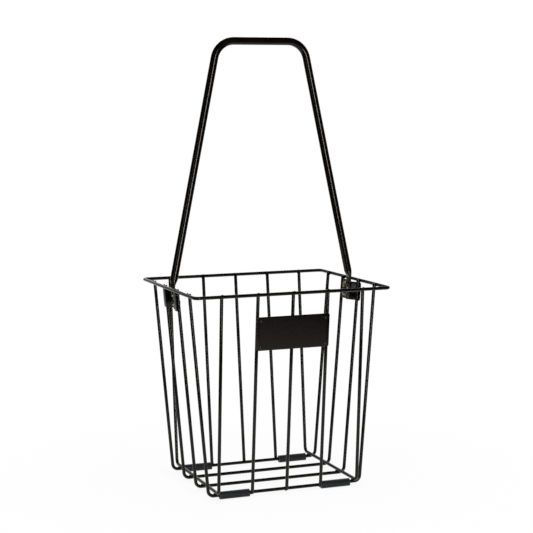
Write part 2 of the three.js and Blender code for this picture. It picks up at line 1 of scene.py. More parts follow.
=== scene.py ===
"""Tennis ball hopper: the finished pieces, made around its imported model.

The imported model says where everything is. Each of its nodes is replaced here by a piece with
the real one's round sections, bends, welds, bevels and coating.

A piece is shaped in millimetres and becomes an object in metres. +Z is up, +X runs to the
right along the basket's long side, -Y is the front, and the origin is on the ground under the
middle of the basket.
"""

import logging
import math
from dataclasses import dataclass
from enum import Enum
from functools import cache, cached_property
from typing import Iterable, Sequence

import bmesh
import bpy
from bmesh.types import BMEdge, BMFace, BMVert
from mathutils import Matrix, Vector, noise


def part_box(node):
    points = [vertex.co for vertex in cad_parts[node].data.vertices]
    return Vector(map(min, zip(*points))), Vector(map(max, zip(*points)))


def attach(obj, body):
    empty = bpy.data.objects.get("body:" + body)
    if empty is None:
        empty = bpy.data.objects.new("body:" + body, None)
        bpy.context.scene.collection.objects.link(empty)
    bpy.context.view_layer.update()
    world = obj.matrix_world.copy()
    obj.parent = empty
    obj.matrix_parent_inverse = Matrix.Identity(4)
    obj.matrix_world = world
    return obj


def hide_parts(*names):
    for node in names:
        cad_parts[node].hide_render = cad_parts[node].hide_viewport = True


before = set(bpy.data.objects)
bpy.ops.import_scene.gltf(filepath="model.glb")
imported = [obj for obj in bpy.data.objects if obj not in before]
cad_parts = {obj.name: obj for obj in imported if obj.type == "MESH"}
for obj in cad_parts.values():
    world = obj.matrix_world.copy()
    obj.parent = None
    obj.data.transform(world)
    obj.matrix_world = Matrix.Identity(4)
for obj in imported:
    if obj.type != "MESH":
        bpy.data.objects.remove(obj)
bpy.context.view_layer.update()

log = logging.getLogger("hopper")

METRES_PER_MM = 0.001
BODY = "root"
WHITE = (1.0, 1.0, 1.0, 1.0)

# Corners closer than these, in millimetres, become one or count as level
MERGE_DISTANCE = 1e-4
SEAM_DISTANCE = 1e-5
RING_CLOSING_DISTANCE = 0.02
LEVEL_WITHIN = 1e-3

# An edge that turns by more than this, in degrees, looks sharp
SHARP_ANGLE = 38.0

Colour = tuple[float, float, float]


class Side(Enum):
    """The two ends of the basket, by the sign of their X."""

    LEFT = -1
    RIGHT = 1


class Face(Enum):
    """The two long faces of the basket, by the sign of their Y."""

    FRONT = -1
    BACK = 1


class Cut(Enum):
    """What a closed tool does to a closed piece."""

    AWAY = "DIFFERENCE"
    TO_SHAPE = "INTERSECT"


class Rounded(Enum):
    """What a bevel rounds: edges, or the corners of a flat sheet."""

    EDGES = "EDGES"
    CORNERS = "VERTICES"


class Sum(Enum):
    """What a node does with its two or three values."""

    LARGER = "MAXIMUM"
    TIMES = "MULTIPLY"
    TIMES_PLUS = "MULTIPLY_ADD"


def node_box(node: str) -> tuple[Vector, Vector]:
    """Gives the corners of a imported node.

    Args:
        node: The node's name.

    Returns:
        Its lowest and its highest corner, in millimetres.
    """
    low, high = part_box(node)
    return low / METRES_PER_MM, high / METRES_PER_MM


def node_middle(node: str) -> Vector:
    """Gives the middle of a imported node's box, in millimetres."""
    low, high = node_box(node)
    return (low + high) / 2


# Layout of the basket


@dataclass(frozen=True)
class Layout:
    """Where the basket's wires stand, in millimetres.

    The rim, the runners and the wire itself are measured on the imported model. The reach of
    each side at the floor gives its lean.
    """

    hairline: float = 0.3
    side_foot_x: float = 132.5
    face_gap: float = 0.075

    @cached_property
    def wire_radius(self) -> float:
        """Half the thickness of the wire."""
        low, high = node_box("top_rim")
        return (high.z - low.z) / 2

    @property
    def touching(self) -> float:
        """Distance between the centres of two wires that touch."""
        return 2 * self.wire_radius + self.hairline

    @cached_property
    def rim_reach(self) -> Vector:
        """Half length and half width of the rim's centreline."""
        return Vector(node_box("top_rim")[1][:2]) - Vector((self.wire_radius, self.wire_radius))

    @cached_property
    def rim_height(self) -> float:
        """Height of the rim's centreline."""
        return node_middle("top_rim").z

    @cached_property
    def runner_height(self) -> float:
        """Height of the runners' centreline across the floor."""
        return node_box("runner_wire_1")[0].z + self.wire_radius

    @cached_property
    def runner_places(self) -> list[float]:
        """Y of each runner, from front to back."""
        return [node_middle(f"runner_wire_{i}").y for i in range(1, 5)]

    @property
    def depth(self) -> float:
        """Height of the rim over the runners."""
        return self.rim_height - self.runner_height

    @property
    def side_rim_x(self) -> float:
        """X of the end wires at the rim."""
        return self.rim_reach.x - self.touching

    @property
    def face_rim_y(self) -> float:
        """Y of the front and back wires at the rim."""
        return self.rim_reach.y - self.touching - self.face_gap

    @property
    def face_foot_y(self) -> float:
        """Y of the front and back wires at the height of the runners."""
        return self.runner_places[-1] + self.touching + self.face_gap

    @property
    def side_lean(self) -> float:
        """Angle between an end of the basket and upright."""
        return math.atan2(self.side_rim_x - self.side_foot_x, self.depth)

    @property
    def face_lean(self) -> float:
        """Angle between the front of the basket and upright."""
        return math.atan2(self.face_rim_y - self.face_foot_y, self.depth)

    def end_matrix(self, side: Side) -> Matrix:
        """Places a drawing of an end: X across it, Y up its slope and Z straight out.

        Args:
            side: Which end it is.

        Returns:
            The matrix from the drawing to the basket.
        """
        turn = Matrix.Rotation(0 if side is Side.RIGHT else math.pi, 4, "Z")
        up = Vector((math.sin(self.side_lean), 0, math.cos(self.side_lean)))
        return turn @ leaning_matrix(Vector((0, 1, 0)), up, Vector((self.side_rim_x, 0, self.rim_height)))

    def face_matrix(self, face: Face) -> Matrix:
        """Places a drawing of a long face: X across it, Y up its slope and Z straight out.

        Args:
            face: Which long face it is.

        Returns:
            The matrix from the drawing to the basket.
        """
        turn = Matrix.Rotation(0 if face is Face.FRONT else math.pi, 4, "Z")
        up = Vector((0, -math.sin(self.face_lean), math.cos(self.face_lean)))
        return turn @ leaning_matrix(Vector((1, 0, 0)), up, Vector((0, -self.face_rim_y, self.rim_height)))


def leaning_matrix(across: Vector, up: Vector, origin: Vector) -> Matrix:
    """Places a drawing on a leaning plane.

    Args:
        across: Where the drawing's X points.
        up: Where its Y points.
        origin: Where its origin lies.

    Returns:
        The matrix from the drawing to the basket.
    """
    columns = Matrix((across, up, across.cross(up))).transposed()
    return Matrix.Translation(origin) @ columns.to_4x4()


# Materials


def calculate(tree: bpy.types.NodeTree, kind: Sum,
              *operands: bpy.types.NodeSocket | float) -> bpy.types.NodeSocket:
    """Adds a sum to a node tree.

    Args:
        tree: The node tree.
        kind: What the sum does.
        *operands: Its sources and constant values, in order.

    Returns:
        The result.
    """
    node = tree.nodes.new("ShaderNodeMath")
    node.operation = kind.value
    for operand, target in zip(operands, node.inputs):
        if isinstance(operand, float):
            target.default_value = operand
        else:
            tree.links.new(operand, target)
    return node.outputs["Value"]


def map_range(tree: bpy.types.NodeTree, source: bpy.types.NodeSocket,
              limits: Sequence[float]) -> bpy.types.Node:
    """Adds a node that maps one range of values to another.

    Args:
        tree: The node tree.
        source: The values.
        limits: Where the first range starts and ends, then the same of the second.

    Returns:
        The node.
    """
    node = tree.nodes.new("ShaderNodeMapRange")
    for name, value in zip(("From Min", "From Max", "To Min", "To Max"), limits):
        node.inputs[name].default_value = value
    tree.links.new(source, node.inputs["Value"])
    return node


def mix_shaders(tree: bpy.types.NodeTree, *sources: bpy.types.NodeSocket) -> bpy.types.NodeSocket:
    """Mixes two shaders.

    Args:
        tree: The node tree.
        *sources: The second shader's share, the first shader and the second one.

    Returns:
        The mixed shader.
    """
    node = tree.nodes.new("ShaderNodeMixShader")
    for source, target in zip(sources, node.inputs):
        tree.links.new(source, target)
    return node.outputs["Shader"]


class Recipe:
    """The node tree of one finish, with short calls for the nodes that finishes share."""

    NOISE_RANGE = (0.3, 0.7)

    def __init__(self, name: str) -> None:
        """Starts from a bare shader that reads Object coordinates.

        Args:
            name: The material's name.
        """
        self.material = bpy.data.materials.new(name)
        self.material.use_nodes = True
        self.tree = self.material.node_tree
        self.nodes = self.tree.nodes
        self.links = self.tree.links
        self.shader = self.nodes["Principled BSDF"]
        self.place = self.nodes.new("ShaderNodeTexCoord").outputs["Object"]

    def fix(self, **sockets: object) -> None:
        """Sets constant shader inputs, named in lower case with underscores.

        Args:
            **sockets: The value of each input.
        """
        by_name = {socket.name.lower().replace(" ", "_"): socket for socket in self.shader.inputs}
        for name, value in sockets.items():
            by_name[name].default_value = value

    def feed(self, name: str, source: bpy.types.NodeSocket) -> None:
        """Joins a pattern to one of the shader's inputs."""
        self.links.new(source, self.shader.inputs[name])

    def stretched(self, scale: Sequence[float]) -> bpy.types.NodeSocket:
        """Gives the coordinates with each axis scaled, for patterns that run one way.

        Args:
            scale: The scale along each axis.

        Returns:
            The scaled coordinates.
        """
        mapping = self.nodes.new("ShaderNodeMapping")
        mapping.inputs["Scale"].default_value = scale
        self.links.new(self.place, mapping.inputs["Vector"])
        return mapping.outputs["Vector"]

    def clouds(self, per_metre: float, detail: float = 2.0,
               place: bpy.types.NodeSocket | None = None) -> bpy.types.NodeSocket:
        """Adds soft noise.

        Args:
            per_metre: Features in a metre.
            detail: Octaves of finer noise.
            place: Coordinates, where they are not the plain ones.

        Returns:
            The noise, from 0 to 1.
        """
        node = self.nodes.new("ShaderNodeTexNoise")
        node.inputs["Scale"].default_value = per_metre
        node.inputs["Detail"].default_value = detail
        self.links.new(place or self.place, node.inputs["Vector"])
        return node.outputs["Fac"]

    def cells(self, per_metre: float) -> bpy.types.NodeSocket:
        """Adds smooth pebbles.

        Args:
            per_metre: Pebbles in a metre.

        Returns:
            The distance from each pebble's middle.
        """
        node = self.nodes.new("ShaderNodeTexVoronoi")
        node.feature = "SMOOTH_F1"
        node.inputs["Scale"].default_value = per_metre
        self.links.new(self.place, node.inputs["Vector"])
        return node.outputs["Distance"]

    def ranged(self, noisy: bpy.types.NodeSocket, low: float, high: float) -> bpy.types.NodeSocket:
        """Maps soft noise to a range.

        Args:
            noisy: The noise, which seldom leaves NOISE_RANGE.
            low: What the start of NOISE_RANGE becomes.
            high: What the end of it becomes.

        Returns:
            The mapped noise.
        """
        return map_range(self.tree, noisy, (*self.NOISE_RANGE, low, high)).outputs["Result"]

    def total(self, first: bpy.types.NodeSocket, second: bpy.types.NodeSocket,
              share: float) -> bpy.types.NodeSocket:
        """Adds a share of the second pattern to the first."""
        return calculate(self.tree, Sum.TIMES_PLUS, second, share, first)

    def ramp(self, source: bpy.types.NodeSocket,
             stops: Sequence[tuple[float, Colour]]) -> bpy.types.NodeSocket:
        """Colours a pattern.

        Args:
            source: The pattern.
            stops: Places from 0 to 1, each with its colour.

        Returns:
            The colour.
        """
        node = self.nodes.new("ShaderNodeValToRGB")
        elements = node.color_ramp.elements
        while len(elements) < len(stops):
            elements.new(0.5)
        for element, (place, colour) in zip(elements, stops):
            element.position = place
            element.color = (*colour, 1.0)
        self.links.new(source, node.inputs["Fac"])
        return node.outputs["Color"]

    def relief(self, height: bpy.types.NodeSocket, depth: float, strength: float) -> None:
        """Gives the surface a relief.

        Args:
            height: The pattern of heights.
            depth: Height in metres that a value of 1 stands for.
            strength: Share of the relief that shows.
        """
        node = self.nodes.new("ShaderNodeBump")
        node.inputs["Distance"].default_value = depth
        node.inputs["Strength"].default_value = strength
        self.links.new(height, node.inputs["Height"])
        self.feed("Normal", node.outputs["Normal"])


@dataclass(frozen=True)
class PowderCoat:
    """Semi-gloss black powder coat, with its orange peel and small changes of gloss.

    Patterns are given in features a metre, and depths in metres.
    """

    slot: str = "powder_coat"
    thick: Colour = (0.0018, 0.0011, 0.0006)
    thin: Colour = (0.0038, 0.0025, 0.0014)
    drift_per_metre: float = 38.0
    drift_detail: float = 3.0
    drift_range: tuple[float, float] = (0.35, 0.70)
    gloss: float = 0.13
    dull: float = 0.18
    gloss_per_metre: float = 160.0
    specular: float = 0.25
    tint: Colour = (1.0, 0.98, 0.97)
    peel_per_metre: float = 620.0
    peel_detail: float = 1.0
    fine_peel_per_metre: float = 2600.0
    fine_peel_share: float = 0.18
    peel_depth: float = 0.000004
    peel_strength: float = 0.35

    @cache
    def material(self) -> bpy.types.Material:
        """Makes the material once.

        Returns:
            The material that all coated pieces share.
        """
        recipe = Recipe(self.slot)
        drift = recipe.clouds(self.drift_per_metre, detail=self.drift_detail)
        coarse = recipe.clouds(self.peel_per_metre, detail=self.peel_detail)
        peel = recipe.total(coarse, recipe.clouds(self.fine_peel_per_metre), self.fine_peel_share)
        shades = list(zip(self.drift_range, (self.thick, self.thin)))
        shine = recipe.clouds(self.gloss_per_metre)
        recipe.feed("Base Color", recipe.ramp(drift, shades))
        recipe.feed("Roughness", recipe.ranged(shine, self.gloss, self.dull))
        recipe.relief(peel, self.peel_depth, self.peel_strength)
        recipe.fix(specular_ior_level=self.specular, specular_tint=(*self.tint, 1.0))
        return recipe.material


@dataclass(frozen=True)
class MouldedPlastic:
    """Satin moulded plastic with the fine grain of its tool.

    Patterns are given in features a metre, and depths in metres.
    """

    slot: str
    dark: Colour
    light: Colour
    gloss: float
    dull: float
    specular: float
    grain_per_metre: float
    tint: Colour = (1.0, 1.0, 1.0)
    sheen: float = 0.0
    flow_per_metre: float = 22.0
    flow_detail: float = 4.0
    flow_stretch: tuple[float, float, float] = (0.5, 1.6, 1.6)
    flow_range: tuple[float, float] = (0.32, 0.68)
    gloss_per_metre: float = 240.0
    fine_grain_ratio: float = 3.0
    fine_grain_share: float = 0.5
    grain_depth: float = 0.00003
    grain_strength: float = 0.4

    @cache
    def material(self) -> bpy.types.Material:
        """Makes the material once.

        Returns:
            The material that all pieces of this plastic share.
        """
        recipe = Recipe(self.slot)
        stretched = recipe.stretched(self.flow_stretch)
        flow = recipe.clouds(self.flow_per_metre, detail=self.flow_detail, place=stretched)
        pebbles = recipe.cells(self.grain_per_metre)
        fine = recipe.clouds(self.fine_grain_ratio * self.grain_per_metre)
        grain = recipe.total(pebbles, fine, self.fine_grain_share)
        shades = list(zip(self.flow_range, (self.dark, self.light)))
        shine = recipe.clouds(self.gloss_per_metre)
        recipe.feed("Base Color", recipe.ramp(flow, shades))
        recipe.feed("Roughness", recipe.ranged(shine, self.gloss, self.dull))
        recipe.relief(grain, self.grain_depth, self.grain_strength)
        recipe.fix(specular_ior_level=self.specular, specular_tint=(*self.tint, 1.0),
                   sheen_weight=self.sheen)
        return recipe.material


@dataclass(frozen=True)
class YellowZinc:
    """Zinc plate with a yellow passivation that shimmers from straw to faint green and rose.

    Patterns are given in features a metre, and depths in metres.
    """

    slot: str = "yellow_zinc"
    straw: Colour = (0.40, 0.34, 0.21)
    green: Colour = (0.34, 0.36, 0.25)
    rose: Colour = (0.40, 0.30, 0.24)
    film_per_metre: float = 210.0
    film_range: tuple[float, float, float, float] = (0.30, 0.46, 0.58, 0.72)
    gloss: float = 0.22
    dull: float = 0.36
    gloss_per_metre: float = 900.0
    etch_per_metre: float = 2200.0
    etch_depth: float = 0.00008
    etch_strength: float = 0.3

    @cache
    def material(self) -> bpy.types.Material:
        """Makes the material once.

        Returns:
            The material that all plated pieces share.
        """
        recipe = Recipe(self.slot)
        film = recipe.clouds(self.film_per_metre)
        shades = list(zip(self.film_range, (self.rose, self.straw, self.straw, self.green)))
        shine = recipe.clouds(self.gloss_per_metre)
        recipe.feed("Base Color", recipe.ramp(film, shades))
        recipe.feed("Roughness", recipe.ranged(shine, self.gloss, self.dull))
        recipe.relief(recipe.clouds(self.etch_per_metre), self.etch_depth, self.etch_strength)
        recipe.fix(metallic=1.0)
        return recipe.material


Finish = PowderCoat | MouldedPlastic | YellowZinc

POWDER_COAT = PowderCoat()
FOOT_PLASTIC = MouldedPlastic(
    slot="foot_plastic", dark=(0.0018, 0.0022, 0.0030), light=(0.0034, 0.0041, 0.0054),
    gloss=0.40, dull=0.50, specular=0.17, grain_per_metre=1500.0, tint=(0.80, 0.89, 1.0), sheen=0.33)
PLATE_PLASTIC = MouldedPlastic(
    slot="plate", dark=(0.0020, 0.0016, 0.0013), light=(0.0038, 0.0031, 0.0027),
    gloss=0.18, dull=0.24, specular=0.27, grain_per_metre=1900.0, tint=(1.0, 0.80, 0.72))
RIVET_BLACK = MouldedPlastic(
    slot="rivet", dark=(0.0040, 0.0036, 0.0034), light=(0.0075, 0.0068, 0.0065),
    gloss=0.28, dull=0.38, specular=0.30, grain_per_metre=1200.0)
YELLOW_ZINC = YellowZinc()


# The bench: pieces in millimetres


def placed_circle(place: Matrix, radius: float, sides: int, bm: bmesh.types.BMesh) -> list[BMVert]:
    """Adds a ring of edges round a place's Z axis, with no corner on its X or Y axis."""
    half_step = Matrix.Rotation(math.pi / sides, 4, "Z")
    return bmesh.ops.create_circle(bm, segments=sides, radius=radius, matrix=place @ half_step)["verts"]


def edges_within(verts: Sequence[BMVert]) -> list[BMEdge]:
    """Finds the edges that have both ends among the given corners.

    Args:
        verts: The corners.

    Returns:
        The edges, in the order of the corners.
    """
    wanted = set(verts)
    found = [edge for vert in verts for edge in vert.link_edges if edge.other_vert(vert) in wanted]
    return list(dict.fromkeys(found))


def only(kind: type, geometry: Iterable) -> list:
    """Picks the corners, edges or faces out of what an operator gives back."""
    return [element for element in geometry if isinstance(element, kind)]


def dome(radius: float, base: float, height: float, steps: int) -> list[tuple[float, float]]:
    """Gives the outline of a domed head.

    Args:
        radius: Radius of its rim.
        base: Height of its rim.
        height: How far the dome rises over its rim.
        steps: Facets from the rim to the middle.

    Returns:
        Radius and height of each corner, from the rim to the middle.
    """
    turns = [math.pi / 2 * step / steps for step in range(steps)]
    rising = [(radius * math.cos(turn), base + height * math.sin(turn)) for turn in turns]
    return [*rising, (0, base + height)]


def as_object(name: str, bm: bmesh.types.BMesh) -> bpy.types.Object:
    """Makes an object in the scene.

    Args:
        name: The name of the object and of its mesh.
        bm: Its shape.

    Returns:
        The object.
    """
    mesh = bpy.data.meshes.new(name)
    bm.to_mesh(mesh)
    item = bpy.data.objects.new(name, mesh)
    bpy.context.scene.collection.objects.link(item)
    return item


class Workpiece:
    """A piece on the bench: a bmesh in millimetres that becomes an object on the hopper."""

    def __init__(self, name: str) -> None:
        """Starts with nothing.

        Args:
            name: The finished object's name.
        """
        self.name = name
        self.bm = bmesh.new()

    def lathe(self, profile: Sequence[tuple[float, float]], steps: int) -> "Workpiece":
        """Turns a closed outline round Z.

        Args:
            profile: Radius and height of each corner, from the axis and back to it, or a loop
                clear of the axis whose last corner is its first.
            steps: Facets round the axis.

        Returns:
            This piece.
        """
        corners = [self.bm.verts.new((radius, 0, height)) for radius, height in profile]
        edges = [self.bm.edges.new(pair) for pair in zip(corners, corners[1:])]
        bmesh.ops.spin(self.bm, geom=[*corners, *edges], cent=(0, 0, 0), axis=(0, 0, 1), angle=2 * math.pi,
                       steps=steps, use_merge=True, use_duplicate=False)
        bmesh.ops.remove_doubles(self.bm, verts=self.bm.verts, dist=MERGE_DISTANCE)
        return self

    def prism(self, corners: int, radius: float, low: float, high: float) -> "Workpiece":
        """Raises a regular polygon along Z, with a flat face to +X.

        Args:
            corners: How many it has.
            radius: How far they are from the axis.
            low: Where it starts.
            high: Where it ends.

        Returns:
            This piece.
        """
        ring = placed_circle(Matrix.Translation((0, 0, low)), radius, corners, self.bm)
        base = bmesh.ops.contextual_create(self.bm, geom=edges_within(ring))["faces"]
        self.raise_faces(base, Vector((0, 0, high - low)))
        return self

    def raise_faces(self, faces: Sequence[BMFace], by: Vector) -> None:
        """Thickens flat faces into a closed block.

        Args:
            faces: The faces.
            by: How far and which way their copy moves.
        """
        bmesh.ops.duplicate(self.bm, geom=list(faces))
        made = bmesh.ops.extrude_face_region(self.bm, geom=list(faces))["geom"]
        bmesh.ops.translate(self.bm, verts=only(BMVert, made), vec=by)
        bmesh.ops.remove_doubles(self.bm, verts=self.bm.verts, dist=SEAM_DISTANCE)

    def soften(self, offset: float, segments: int = 2, angle: float = 40.0) -> "Workpiece":
        """Rounds every sharp edge.

        Args:
            offset: How far from the edge the rounding starts.
            segments: Facets across it.
            angle: Turn in degrees above which an edge is sharp.

        Returns:
            This piece.
        """
        limit = math.radians(angle)
        sharp = [edge for edge in self.bm.edges if edge.is_manifold and edge.calc_face_angle(0) > limit]
        self.bevel(sharp, offset, segments, clamp=True)
        return self

    def bevel(self, geometry: Sequence[BMEdge | BMVert], offset: float, segments: int,
              what: Rounded = Rounded.EDGES, clamp: bool = False) -> None:
        """Rounds some edges, or the corners of a flat sheet.

        Args:
            geometry: The edges or corners.
            offset: How far from them the rounding starts.
            segments: Facets across it.
            what: Whether edges or corners are rounded.
            clamp: Whether the rounding stops where it meets another.
        """
        bmesh.ops.bevel(self.bm, geom=geometry, offset=offset, offset_type="OFFSET", affect=what.value,
                        segments=segments, profile=0.5, material=-1, clamp_overlap=clamp)

    def move(self, place: Matrix) -> "Workpiece":
        """Sets the piece somewhere else."""
        bmesh.ops.transform(self.bm, matrix=place, verts=self.bm.verts)
        return self

    def cut(self, how: Cut, tool: "Workpiece") -> "Workpiece":
        """Cuts or trims the piece with a closed tool, which is used up.

        Args:
            how: What the tool does.
            tool: The other closed piece.

        Returns:
            This piece.
        """
        body, blade = self.bench_object(), tool.bench_object()
        modifier = body.modifiers.new("cut", "BOOLEAN")
        modifier.operation = how.value
        modifier.solver = "EXACT"
        modifier.object = blade
        depsgraph = bpy.context.evaluated_depsgraph_get()
        result = bpy.data.meshes.new_from_object(body.evaluated_get(depsgraph))
        self.bm.free()
        self.bm = bmesh.new()
        self.bm.from_mesh(result)
        bmesh.ops.remove_doubles(self.bm, verts=self.bm.verts, dist=MERGE_DISTANCE)
        for used in (body, blade):
            bpy.data.meshes.remove(used.data)
        bpy.data.meshes.remove(result)
        tool.bm.free()
        return self

    def bench_object(self) -> bpy.types.Object:
        """Makes a passing object for a modifier to work on, which its caller removes."""
        bmesh.ops.recalc_face_normals(self.bm, faces=self.bm.faces)
        return as_object("bench", self.bm)

    def block(self, middle: Sequence[float], size: Sequence[float]) -> "Workpiece":
        """Makes a square block.

        Args:
            middle: Where its middle lies.
            size: Its length along each axis.

        Returns:
            This piece.
        """
        matrix = Matrix.Translation(middle) @ Matrix.Diagonal((*size, 1))
        bmesh.ops.create_cube(self.bm, size=1.0, matrix=matrix)
        return self

    def drill(self, place: Matrix, radius: float, sides: int = 32, low: float = -20.0,
              high: float = 20.0) -> None:
        """Drills a hole.

        Args:
            place: The hole's place, with Z along it.
            radius: The hole's radius.
            sides: Facets round it.
            low: How far along it the drill starts.
            high: How far along it the drill ends.
        """
        bit = Workpiece("drill").prism(sides, radius, low, high)
        self.cut(Cut.AWAY, bit.move(place))

    def bead(self, place: Matrix, size: Sequence[float], lumps: float, lump_scale: float,
             spot: Vector) -> None:
        """Adds a lumpy bead of weld metal.

        Args:
            place: Its place and turn.
            size: Its half length along each axis of the place.
            lumps: Height of its lumps, as a share of its size.
            lump_scale: How many lumps go to its half length.
            spot: Where in the noise its lumps are read, so that no two beads are alike.
        """
        made = bmesh.ops.create_icosphere(self.bm, subdivisions=4, radius=1.0)["verts"]
        for vert in made:
            vert.co *= 1 + lumps * noise.noise(vert.co * lump_scale + spot)
        bmesh.ops.transform(self.bm, matrix=place @ Matrix.Diagonal((*size, 1)), verts=made)

    def hand_over(self, finish: Finish, nodes: Sequence[str]) -> None:
        """Puts the piece on the hopper.

        Args:
            finish: What it is coated with or made of.
            nodes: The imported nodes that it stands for.
        """
        bmesh.ops.remove_doubles(self.bm, verts=self.bm.verts, dist=MERGE_DISTANCE)
        bmesh.ops.recalc_face_normals(self.bm, faces=self.bm.faces)
        bmesh.ops.scale(self.bm, vec=(METRES_PER_MM,) * 3, verts=self.bm.verts)
        for face in self.bm.faces:
            face.smooth = True
        item = as_object(self.name, self.bm)
        open_edges = sum(not edge.is_manifold for edge in self.bm.edges)
        self.bm.free()
        item.data.set_sharp_from_angle(angle=math.radians(SHARP_ANGLE))
        item.data.materials.append(finish.material())
        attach(item, BODY)
        if nodes:
            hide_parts(*nodes)
        log.info("%s: %d faces, %d open edges", self.name, len(item.data.polygons), open_edges)


@dataclass
class Ring:
    """One section of round stock: its corners, its middle, its heading and its distance along."""

    verts: list[BMVert]
    middle: Vector
    heading: Vector
    distance: float


class RoundStock(Workpiece):
    """Wire or tube on a bender: straights extrude the ring of its section and bends spin it."""

    def __init__(self, name: str, start: Vector, heading: Vector, radius: float, sides: int) -> None:
        """Holds the stock at one end.

        Args:
            name: The finished object's name.
            start: The middle of that end.
            heading: Where the stock points.
            radius: Half its thickness.
            sides: Facets round it.
        """
        super().__init__(name)
        aim = heading.to_track_quat("Z", "Y").to_matrix().to_4x4()
        verts = placed_circle(Matrix.Translation(start) @ aim, radius, sides, self.bm)
        self.rings = [Ring(verts, start.copy(), heading.normalized(), 0.0)]

    @property
    def tip(self) -> Ring:
        """The section that was made last."""
        return self.rings[-1]

    def feed(self, length: float, stops: Sequence[float] = ()) -> None:
        """Adds a straight run.

        Args:
            length: How long it is.
            stops: Distances along the stock at which it gets a section of its own.
        """
        start, least = self.tip.distance, 0.05
        inside = [stop for stop in stops if start + least < stop < start + length - least]
        for distance in [*inside, start + length]:
            last = self.tip
            made = bmesh.ops.extrude_edge_only(self.bm, edges=edges_within(last.verts))["geom"]
            verts = only(BMVert, made)
            step = last.heading * (distance - last.distance)
            bmesh.ops.translate(self.bm, verts=verts, vec=step)
            self.rings.append(Ring(verts, last.middle + step, last.heading, distance))

    def bend(self, toward: Vector, turn: float, radius: float, steps: int) -> None:
        """Adds a round bend.

        Args:
            toward: Side on which the bend's centre lies.
            turn: Angle of the whole bend.
            radius: Radius of its centreline.
            steps: Sections along it.
        """
        heading = self.tip.heading
        inward = (toward - heading * toward.dot(heading)).normalized()
        centre = self.tip.middle + inward * radius
        axis = heading.cross(inward)
        for _ in range(steps):
            last = self.tip
            edges = edges_within(last.verts)
            made = bmesh.ops.spin(self.bm, geom=[*last.verts, *edges], cent=centre, axis=axis,
                                  angle=turn / steps, steps=1, use_merge=False, use_duplicate=False)
            verts = only(BMVert, made["geom_last"])
            spun = Matrix.Rotation(turn / steps, 3, axis)
            middle = centre + spun @ (last.middle - centre)
            distance = last.distance + turn / steps * radius
            self.rings.append(Ring(verts, middle, spun @ last.heading, distance))

    def follow(self, corners: Sequence[Vector], bend_radii: Sequence[float], steps: int,
               stops: Sequence[float] = ()) -> "RoundStock":
        """Runs through a row of corners, each rounded to its radius, and on to the last point.

        Args:
            corners: The corners after the start, and the end.
            bend_radii: The radius of each bend.
            steps: Sections along each bend.
            stops: Distances along the stock at which a straight run gets a section.

        Returns:
            This piece.
        """
        for corner, after, radius in zip(corners, corners[1:], bend_radii):
            leaving = (after - corner).normalized()
            turn = self.tip.heading.angle(leaving)
            tangent = radius * math.tan(turn / 2)
            self.feed((corner - self.tip.middle).length - tangent, stops)
            self.bend(leaving, turn, radius, steps)
        self.feed((corners[-1] - self.tip.middle).length, stops)
        return self

    def close_ring(self) -> "RoundStock":
        """Welds the last section to the first, where the stock comes round to its start.

        Returns:
            This piece.
        """
        meeting = [*self.rings[0].verts, *self.tip.verts]
        bmesh.ops.remove_doubles(self.bm, verts=meeting, dist=RING_CLOSING_DISTANCE)
        return self

    def close_ends(self, rounding: float, segments: int = 3) -> "RoundStock":
        """Closes both sheared ends and rounds their edges, as a coat of powder leaves them.

        Args:
            rounding: How far from the edge the rounding starts.
            segments: Facets across it.

        Returns:
            This piece.
        """
        for ring in (self.rings[0], self.tip):
            edges = edges_within(ring.verts)
            bmesh.ops.contextual_create(self.bm, geom=edges)
            self.bevel(edges, rounding, segments)
        return self


# Basket


